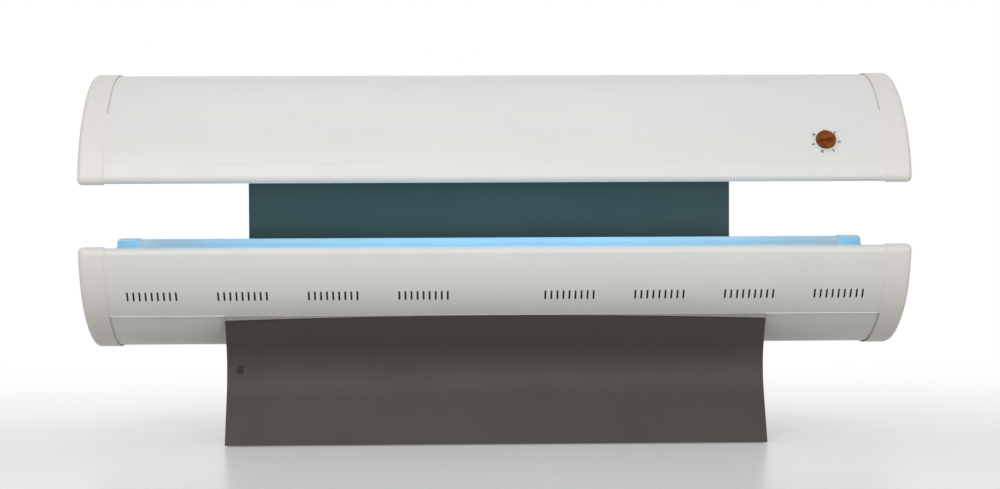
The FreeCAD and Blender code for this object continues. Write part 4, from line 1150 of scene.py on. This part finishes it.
@dataclass
class Shell:
    """One half of the clamshell: its lip plane, its curved fascias and its dished opening.

    A point of its section is (across, depth): across from mid depth, depth away from the lip plane.
    The sign is 1 where that depth runs up, and -1 where it runs down.
    """

    name: str
    body: str
    lip: float
    sign: float
    middle: float
    fascia_radius: float = 0.25
    seam_across: float = 0.255
    seam_depth: float = 0.169
    lip_radius: float = 0.014
    half_depth: float = 0.35
    dish_depth: float = 0.125
    dish_half: float = 0.326
    dish_edge: float = 0.012
    lamp_count: int = 12
    lamp_pitch: float = 0.044
    lamp_beyond: float = 0.032
    reflector_beyond: float = 0.027
    trim_top: float = 0.0133
    trim_low: float = 0.031
    trim_thick: float = 0.0015
    ridge_half: float = 0.0065
    ridge_crest: float = 0.16
    ridge_height: float = 0.009
    ridge_reach: float = 0.87
    bead_proud: float = 0.0023
    bead_width: float = 0.0045
    clearance: float = 0.0003
    fascia_steps: int = 24
    lip_steps: int = 10
    dish_steps: int = 8
    nose_steps: int = 6

    def __post_init__(self) -> None:
        """Works out the centres of the fascia's and the dish's arcs."""
        depth_in = self.dish_depth - self.dish_edge
        self.dish_radius = (self.dish_half ** 2 + depth_in ** 2) / (2 * depth_in)
        self.dish_level = self.dish_depth - self.dish_radius
        self.lamp_arc = self.dish_radius + self.lamp_beyond
        width = self.half_depth - self.seam_across
        chord = math.hypot(width, self.seam_depth)
        reach = math.sqrt(self.fascia_radius ** 2 - (chord / 2) ** 2)
        self.arc_across = self.seam_across + width / 2 - reach * self.seam_depth / chord
        self.arc_depth = self.seam_depth / 2 - reach * width / chord

    def at(self, x: float, across: float, depth: float) -> Point:
        """Returns the place of a point of the section."""
        return x, self.middle + across, self.lip + self.sign * depth

    def cap_finishes(self) -> dict[str, Finish]:
        """Paints lamp light and shade on the end caps along the dish.

        Returns:
            The finish of each end cap, by its node.
        """
        _, across, height = self.at(0.0, 0.0, self.dish_level)
        cap = Wear.CAP.value
        # painted lamp light and painted shade along each cap's dish
        painted_lamp_light = LinedPlastic(f"{self.name}_cap", cap.colour, cap.gloss, axis=(across, height),
                             dish_radius=self.dish_radius, lip=self.lip, sign=self.sign)
        return {f"{self.name}_end_cap_{side}": painted_lamp_light for side in ("left", "right")}

    def outline(self, proud: float) -> list[Flat]:
        """Follows the fascia from the seam round the lip.

        Args:
            proud: how far outside the fascia.

        Returns:
            The points of the section.
        """
        centre = self.arc_across, self.arc_depth
        inner = self.fascia_radius - self.lip_radius
        turn = math.asin((self.lip_radius - self.arc_depth) / inner)
        seam = math.atan2(self.seam_depth - self.arc_depth, self.seam_across - self.arc_across)
        bead = centre[0] + inner * math.cos(turn), self.lip_radius
        return (arc_points(centre, self.fascia_radius + proud, seam, turn, self.fascia_steps)
                + arc_points(bead, self.lip_radius + proud, turn, -math.pi / 2, self.lip_steps)[1:])

    def dish_arc(self, radius: float, start: float, end: float) -> list[Flat]:
        """Returns points on an arc about the dish's axis, angles from the dish's deepest line."""
        angles = [start + (end - start) * step / self.dish_steps for step in range(self.dish_steps + 1)]
        return [(radius * math.sin(a), radius * math.cos(a)) for a in angles]

    def trims(self, reach: float) -> None:
        """Lays a pale strip, its blue tint painted lamp light, over each long edge of the acrylic, with a
        rounded inner edge.

        Args:
            reach: half the length of the acrylic.
        """
        outer = self.dish_radius - self.clearance
        inner = outer - self.trim_thick
        high = math.acos((self.trim_top - self.dish_level) / outer)
        low = math.acos((self.trim_low - self.dish_level) / outer)
        half = self.trim_thick / 2
        middle = outer - half
        section = self.dish_arc(outer, high, low)
        for out, ahead in arc_points((0.0, 0.0), half, 0.0, -math.pi, self.nose_steps)[1:-1]:
            turn = low + ahead / middle
            section.append(((middle + out) * math.sin(turn), (middle + out) * math.cos(turn)))
        section += self.dish_arc(inner, low, high)
        parts = []
        for side in (-1, 1):
            rings = [[self.at(x, side * y, self.dish_level + z) for y, z in section]
                     for x in (-reach, reach)]
            parts.append(sweep("edge", rings))
        # the trim's blue tint is painted lamp light
        seat(f"{self.name}_acrylic_trim", joined("trim", parts), self.body, TRIM_PAINTED_BLUE_LIGHT, "shell_white")

    def ridges(self, repeat: ArcRepeat) -> None:
        """Runs a bright ridge along the reflector between each two lamps.

        Args:
            repeat: the tree that sets the ridges side by side.
        """
        half, height = self.ridge_half, self.ridge_height
        crest = half * self.ridge_crest
        outline = [(-half, 0.0), (half, 0.0), (crest, -height), (-crest, -height)]
        shape = prism("ridge", outline, -self.ridge_reach, self.ridge_reach)
        step = self.lamp_pitch / self.lamp_arc
        count = self.lamp_count - 1
        radius = self.lamp_arc + self.reflector_beyond - self.clearance
        values = {"Count": count, "Radius": radius, "First": -step * (count - 1) / 2, "Step": step,
                  "Finish": Wear.REFLECTOR.value.material()}
        fan = repeat.run(shape, values)
        fan = outwards(moved(fan, lambda p: self.at(p.z, p.x, self.dish_level + p.y)))
        seat(f"{self.name}_reflector_ridges", fan, self.body, Wear.REFLECTOR.value, "reflector_metal")

    def cap_beads(self, seam: float) -> None:
        """Softens the step from each fascia up to the end caps' lips with a pale bead.

        Args:
            seam: the end caps' inner ends from the middle of the bed.
        """
        gap = self.clearance / 3
        edges = list(zip(self.outline(gap), self.outline(self.bead_proud)))
        parts = []
        for end, side in product((-1, 1), repeat=2):
            near, far = end * (seam - gap), end * (seam - self.bead_width)
            rings = [[self.at(near, side * low[0], low[1]),
                      self.at(near, side * high[0], high[1]),
                      self.at(far, side * low[0], low[1])] for low, high in edges]
            parts.append(sweep("bead", rings))
        seat(f"{self.name}_cap_beads", joined("beads", parts), self.body, Wear.CAP.value, "cap_cream")


@dataclass
class Timer:
    """The knob on the canopy's front and the print round it.

    A flat point is (along, up), measured on the fascia from the knob's axis, with +Z outwards.
    Angles are in degrees: the dial's run clockwise from straight up, and the tilts anticlockwise.
    """

    shell: Shell
    along: float
    depth: float = 0.0987
    zero: float = -2.7
    minutes: int = 30
    number_each: int = 10
    bar_each: int = 5
    minute_step: float = 10.1
    print_radius: float = 0.0322
    tick_half: float = 0.0014
    tick_length: float = 0.0074
    fine_half: float = 0.00022
    fine_length: float = 0.003
    fine_radius: float = 0.0312
    digit_size: float = 0.0086
    digit_narrow: float = 0.85
    digit_bold: float = 0.00036
    digit_steps: int = 3
    ink: float = 0.00006
    lift: float = 0.00004
    radius: float = 0.0245
    base: float = 0.0003
    skirt: float = 0.0085
    chamfer: float = 0.0006
    shoulder: float = 0.0024
    shoulder_steps: int = 6
    face_dish: tuple[Flat, Flat] = ((0.8, 0.0004), (0.5, 0.0011))
    face_sink: float = 0.0013
    height: float = 0.019
    grip_tilt: float = 11.0
    grip_foot: float = 0.0062
    grip_head: float = 0.0036
    grip_reach: float = 0.0222
    grip_sunk: float = 0.0025
    grip_levels: tuple[float, ...] = (0.0, 0.35, 0.7, 0.88, 0.96, 1.0)
    grip_round_from: float = 0.7
    grip_round_over: float = 0.3
    grip_crest: float = 0.45
    grip_lean: float = 0.1
    grip_end: float = 0.002
    grip_corner: float = 0.7
    grip_steps: int = 4
    nub_tilt: float = 8.0
    nub_half: float = 0.0025
    nub_out: float = 0.0012
    nub_in: float = 0.004
    nub_foot: float = 0.0017
    nub_sink: float = 0.0012
    nub_steps: int = 8
    flute_count: int = 44
    flute: float = 0.0009
    flute_set: float = 0.7
    flute_bulge: float = 0.3
    flute_foot: float = 0.0008
    flute_sink: float = 0.0026
    flute_steps: int = 5
    bore: float = 0.0031

    def __post_init__(self) -> None:
        """Works out the knob's point on the fascia, its axis and the fascia's centre line."""
        shell = self.shell
        rise = self.depth - shell.arc_depth
        flat = math.sqrt(shell.fascia_radius ** 2 - rise ** 2)
        self.out = Vector((0.0, -flat / shell.fascia_radius, shell.sign * rise / shell.fascia_radius))
        self.up = Vector((0.0, self.out.z, -self.out.y))
        self.centre = Vector(shell.at(self.along, -shell.arc_across, shell.arc_depth))

    def on_fascia(self, point: Vector) -> Point:
        """Wraps a flat point round the fascia.

        Args:
            point: the flat point.

        Returns:
            Its place on the fascia.
        """
        turn = point.y / self.shell.fascia_radius
        away = self.shell.fascia_radius + point.z
        ray = self.out * math.cos(turn) + self.up * math.sin(turn)
        return tuple(self.centre + Vector((point.x, 0.0, 0.0)) + ray * away)

    def on_axis(self, point: Vector) -> Point:
        """Puts a flat point on the plane that touches the fascia under the knob."""
        root = self.centre + self.out * self.shell.fascia_radius
        return tuple(root + Vector((point.x, 0.0, 0.0)) + self.up * point.y + self.out * point.z)

    def bar(self, half: float, length: float) -> bpy.types.Mesh:
        """Makes one printed tick about the middle, its length upwards."""
        return prism("tick", rectangle(half, length / 2), self.lift, self.lift + self.ink)

    def number(self, minutes: int) -> bpy.types.Mesh:
        """Prints a number of minutes at its place, along a ray from the knob.

        Right of the knob it reads outwards, and left of it inwards.

        Args:
            minutes: the number.

        Returns:
            The flat print.
        """
        data = bpy.data.curves.new("digits", "FONT")
        data.body = str(minutes)
        data.size = self.digit_size
        data.align_x = "CENTER"
        data.align_y = "CENTER"
        data.extrude = self.ink / 2
        data.offset = self.digit_bold
        data.resolution_u = self.digit_steps
        mesh = evaluated(bpy.data.objects.new("digits", data))
        bpy.data.curves.remove(data)
        clock = self.zero + minutes * self.minute_step
        turn = Matrix.Rotation(-math.radians(clock), 4, "Z")
        spin = Matrix.Rotation(math.copysign(math.pi / 2, 180.0 - clock), 4, "Z")
        slim = Matrix.Diagonal((self.digit_narrow, 1.0, 1.0, 1.0))
        lifted = Matrix.Translation((0.0, self.print_radius, self.lift + self.ink / 2))
        mesh.transform(turn @ lifted @ spin @ slim)
        return mesh

    def dial(self, repeat: ArcRepeat) -> None:
        """Prints the dial on the fascia: numbers each ten minutes, bars between, fine ticks.

        Args:
            repeat: the tree that sets bars and ticks round the knob.
        """
        ink = INK.material()
        step = math.radians(self.minute_step)
        first = math.radians(self.zero)
        numbers = range(self.number_each, self.minutes + 1, self.number_each)
        parts = [repeat.run(self.bar(self.tick_half, self.tick_length), {
            "Count": len(numbers), "Radius": self.print_radius, "First": first + self.bar_each * step,
            "Step": self.number_each * step, "Finish": ink})]
        parts += [self.number(minutes) for minutes in numbers]
        for start in range(0, self.minutes, self.bar_each):
            parts.append(repeat.run(self.bar(self.fine_half, self.fine_length), {
                "Count": self.bar_each - 1, "Radius": self.fine_radius,
                "First": first + (start + 1) * step, "Step": step, "Finish": ink}))
        print_mesh = moved(joined("dial", parts), self.on_fascia)
        seat("timer_dial_print", print_mesh, self.shell.body, INK, "black_plastic")

    def skirt_mesh(self) -> bpy.types.Mesh:
        """Turns the knob's round part: a straight skirt, a soft shoulder and a dished face.

        Returns:
            The mesh.
        """
        rim = self.radius - self.flute * self.flute_set
        bend = rim - self.shoulder, self.skirt - self.shoulder
        profile = [(self.bore, self.base), (rim - self.chamfer, self.base), (rim, self.base + self.chamfer)]
        profile += arc_points(bend, self.shoulder, 0.0, math.pi / 2, self.shoulder_steps)
        profile += [(rim * share, self.skirt - sink) for share, sink in self.face_dish]
        profile.append((self.bore, self.skirt - self.face_sink))
        return sweep("skirt", turned(profile, 2 * self.flute_count), closed=True)

    def grip_mesh(self) -> bpy.types.Mesh:
        """Lofts the bar that the fingers turn, slimmer at its top and rounded over.

        Returns:
            The mesh.
        """
        quarter = math.pi / 2
        foot = self.skirt - self.grip_sunk
        rise = self.height - self.skirt + self.grip_sunk
        rings = []
        for share in self.grip_levels:
            bend = max(0.0, (share - self.grip_round_from) / self.grip_round_over)
            full = math.sqrt(max(0.0, 1 - bend ** 2))
            half = self.grip_foot + (self.grip_head - self.grip_foot) * share
            half *= self.grip_crest + (1 - self.grip_crest) * full
            reach = self.grip_reach * (1 - self.grip_lean * share ** 3) - (1 - full) * self.grip_end
            corner = half * self.grip_corner
            ring = []
            for turn, (ahead, aside) in enumerate(((1, 1), (-1, 1), (-1, -1), (1, -1))):
                middle = (reach - corner) * ahead, (half - corner) * aside
                ring += arc_points(middle, corner, turn * quarter, (turn + 1) * quarter, self.grip_steps)
            rings.append([(x, y, foot + rise * share) for x, y in ring])
        mesh = sweep("grip", rings)
        mesh.transform(Matrix.Rotation(math.radians(self.grip_tilt), 4, "Z"))
        return mesh

    def nub_mesh(self) -> bpy.types.Mesh:
        """Makes the pointer at the knob's rim, rounded at its tip.

        Returns:
            The mesh.
        """
        tip = self.radius + self.nub_out - self.nub_half
        root = self.radius - self.nub_in
        outline = [(-self.nub_half, root), (self.nub_half, root)]
        outline += arc_points((0.0, tip), self.nub_half, 0.0, math.pi, self.nub_steps)
        mesh = prism("nub", outline, self.base + self.nub_foot, self.skirt - self.nub_sink)
        mesh.transform(Matrix.Rotation(math.radians(self.nub_tilt), 4, "Z"))
        return mesh

    def knob(self, repeat: ArcRepeat) -> None:
        """Builds the knob with its fluted rim.

        Args:
            repeat: the tree that sets the flutes round the rim.
        """
        middle = 0.0, -self.flute * self.flute_bulge
        rib = arc_points(middle, self.flute, math.pi, 0.0, self.flute_steps)
        rib = [(x, y - self.flute * self.flute_set) for x, y in rib]
        flute = prism("flute", rib, self.base + self.flute_foot, self.skirt - self.flute_sink)
        flutes = repeat.run(flute, {
            "Count": self.flute_count, "Radius": self.radius, "First": 0.0,
            "Step": math.tau / self.flute_count, "Finish": Wear.KNOB.value.material()})
        parts = [self.skirt_mesh(), self.grip_mesh(), self.nub_mesh(), flutes]
        mesh = outwards(moved(joined("knob", parts), self.on_axis))
        seat("timer_knob_moulded", mesh, "timer_dial", Wear.KNOB.value, "knob_brown", "timer_knob")


@dataclass
class Column:
    """The rear column's small fittings and a grey strip above the base, which paints light over a shaded gap.

    The dome's points are shares of the screw head's radius and height. The strip's gap is above the
    base panel's top, which drops by the arch from its middle to its ends.
    """

    screw_radius: float = 0.004
    screw_head: float = 0.0023
    screw_apart: float = 0.012
    dome: tuple[Flat, ...] = ((0.0, 0.0), (1.0, 0.0), (1.0, 0.35), (0.86, 0.7), (0.55, 0.94), (0.0, 1.0))
    dome_sides: int = 20
    recess_half: float = 0.0005
    recess_reach: float = 0.0022
    recess_depth: float = 0.0012
    seal_reach: float = 0.6598
    seal_thick: float = 0.0009
    seal_top: float = 0.3162
    seal_gap: float = 0.0006
    seal_steps: int = 48
    base_half: float = 0.66
    base_arch: float = 0.01

    def head(self) -> bpy.types.Mesh:
        """Makes one domed screw head with a cross recess, facing +Z.

        Returns:
            The mesh.
        """
        dome = [(self.screw_radius * across, self.screw_head * up) for across, up in self.dome]
        head = bpy.data.objects.new("screw", lathe("screw", dome, self.dome_sides))
        floor, above = self.screw_head - self.recess_depth, self.screw_head * 2
        tools = []
        for arm in ((self.recess_reach, self.recess_half), (self.recess_half, self.recess_reach)):
            tool = bpy.data.objects.new("slot", prism("slot", rectangle(*arm), floor, above))
            bpy.context.scene.collection.objects.link(tool)
            cut = head.modifiers.new("slot", "BOOLEAN")
            cut.operation = "DIFFERENCE"
            cut.solver = "EXACT"
            cut.object = tool
            tools.append(tool)
        made = evaluated(head)
        for tool in tools:
            bpy.data.objects.remove(tool)
        return made

    def screw_levels(self) -> list[float]:
        """Finds the rows of screws on the rear panel.

        Returns:
            The height of each row, from the lowest.
        """
        corners = frame["nodes"]["column_screws"].data.vertices
        groups: list[list[float]] = []
        for level in sorted({round(corner.co.z, 3) for corner in corners}):
            if groups and level - groups[-1][-1] < self.screw_apart:
                groups[-1].append(level)
            else:
                groups.append([level])
        return [(group[0] + group[-1]) / 2 for group in groups]

    def screws(self, repeat: SpotRepeat) -> None:
        """Puts a cross-recessed head on each screw of the rear panel.

        The heads face up while they are laid out, and are then turned to face the back.

        Args:
            repeat: the tree that sets the heads on their spots.
        """
        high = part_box("column_screws")[1]
        reach = high[0] - self.screw_radius
        face = high[1] - self.screw_head
        spots = [(side * reach, -level, face) for side, level in product((-1, 1), self.screw_levels())]
        corners = bpy.data.meshes.new("screw_spots")
        corners.from_pydata(spots, [], [])
        shape = bpy.data.objects.new("screw_head", self.head())
        made = repeat.run(corners, {"Shape": shape, "Finish": Wear.STEEL.value.material()})
        bpy.data.objects.remove(shape)
        made = outwards(moved(made, lambda p: (p.x, p.z, -p.y)))
        seat("column_screw_heads", made, "frame", Wear.STEEL.value, "bright_steel", "column_screws")

    def seal(self, shell: Shell) -> None:
        """Hangs a grey strip from the bed's front seam down to the base panel's arched top, its grey painted
        light where the gap lies in shade.

        Args:
            shell: the bed's half of the clamshell.
        """
        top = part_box("base_front_panel")[1][2]
        back = shell.middle - shell.seam_across - self.seal_thick * 3
        front = back - self.seal_thick
        rings = []
        for step in range(self.seal_steps + 1):
            x = self.seal_reach * (2 * step / self.seal_steps - 1)
            low = top - self.base_arch * (x / self.base_half) ** 2 + self.seal_gap
            rings.append([(x, back, self.seal_top), (x, front, self.seal_top),
                          (x, front, low), (x, back, low)])
        # grey strip: painted light over the gap's shadow
        seat("base_top_seal", sweep("seal", rings), "frame", STRIP_PAINTED_LIGHT, "shell_white")


@dataclass
class Bodywork:
    """The rigid parts that keep their shape and get their finish here."""

    nodes: Mapping[str, bpy.types.Object]
    special: Mapping[str, Finish]

    def dress(self) -> int:
        """Gives every node the finish of its slot, or its own.

        Returns:
            How many nodes were dressed.
        """
        finishes = {wear.slot: wear.value for wear in Wear}
        for name, node in self.nodes.items():
            for slot in node.material_slots:
                finish = self.special.get(name) or finishes[slot.material.name.split(".")[0]]
                slot.material = finish.material()
        return len(self.nodes)


def main() -> None:
    """Builds the looks in order and reports each step."""
    logging.basicConfig(level=logging.INFO, format="%(name)s: %(message)s")
    Studio().build()
    LOG.info("studio set")
    low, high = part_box("bed_acrylic")
    middle = (low[1] + high[1]) / 2
    reach = high[0]
    bed = Shell("bed", "frame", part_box("bed_front_fascia")[1][2], -1.0, middle)
    canopy = Shell("canopy", "canopy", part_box("canopy_front_fascia")[0][2], 1.0, middle)
    # the column front panel wears painted teal lamp light
    special = {"column_front_panel": COLUMN_PAINTED_TEAL_LIGHT, "base_plug": PLUG, **bed.cap_finishes(), **canopy.cap_finishes()}
    LOG.info("dressed %d nodes", Bodywork(frame["nodes"], special).dress())
    arcs = ArcRepeat("arc_repeat")
    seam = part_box("bed_end_cap_right")[0][0]
    for shell in (bed, canopy):
        shell.trims(reach)
        shell.ridges(arcs)
        shell.cap_beads(seam)
    low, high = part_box("timer_bezel")
    timer = Timer(canopy, (low[0] + high[0]) / 2)
    timer.dial(arcs)
    timer.knob(arcs)
    column = Column()
    column.screws(SpotRepeat("spot_repeat"))
    # hangs the strip of painted light over the gap above the base
    column.seal(bed)


if __name__ == "__main__":
    main()
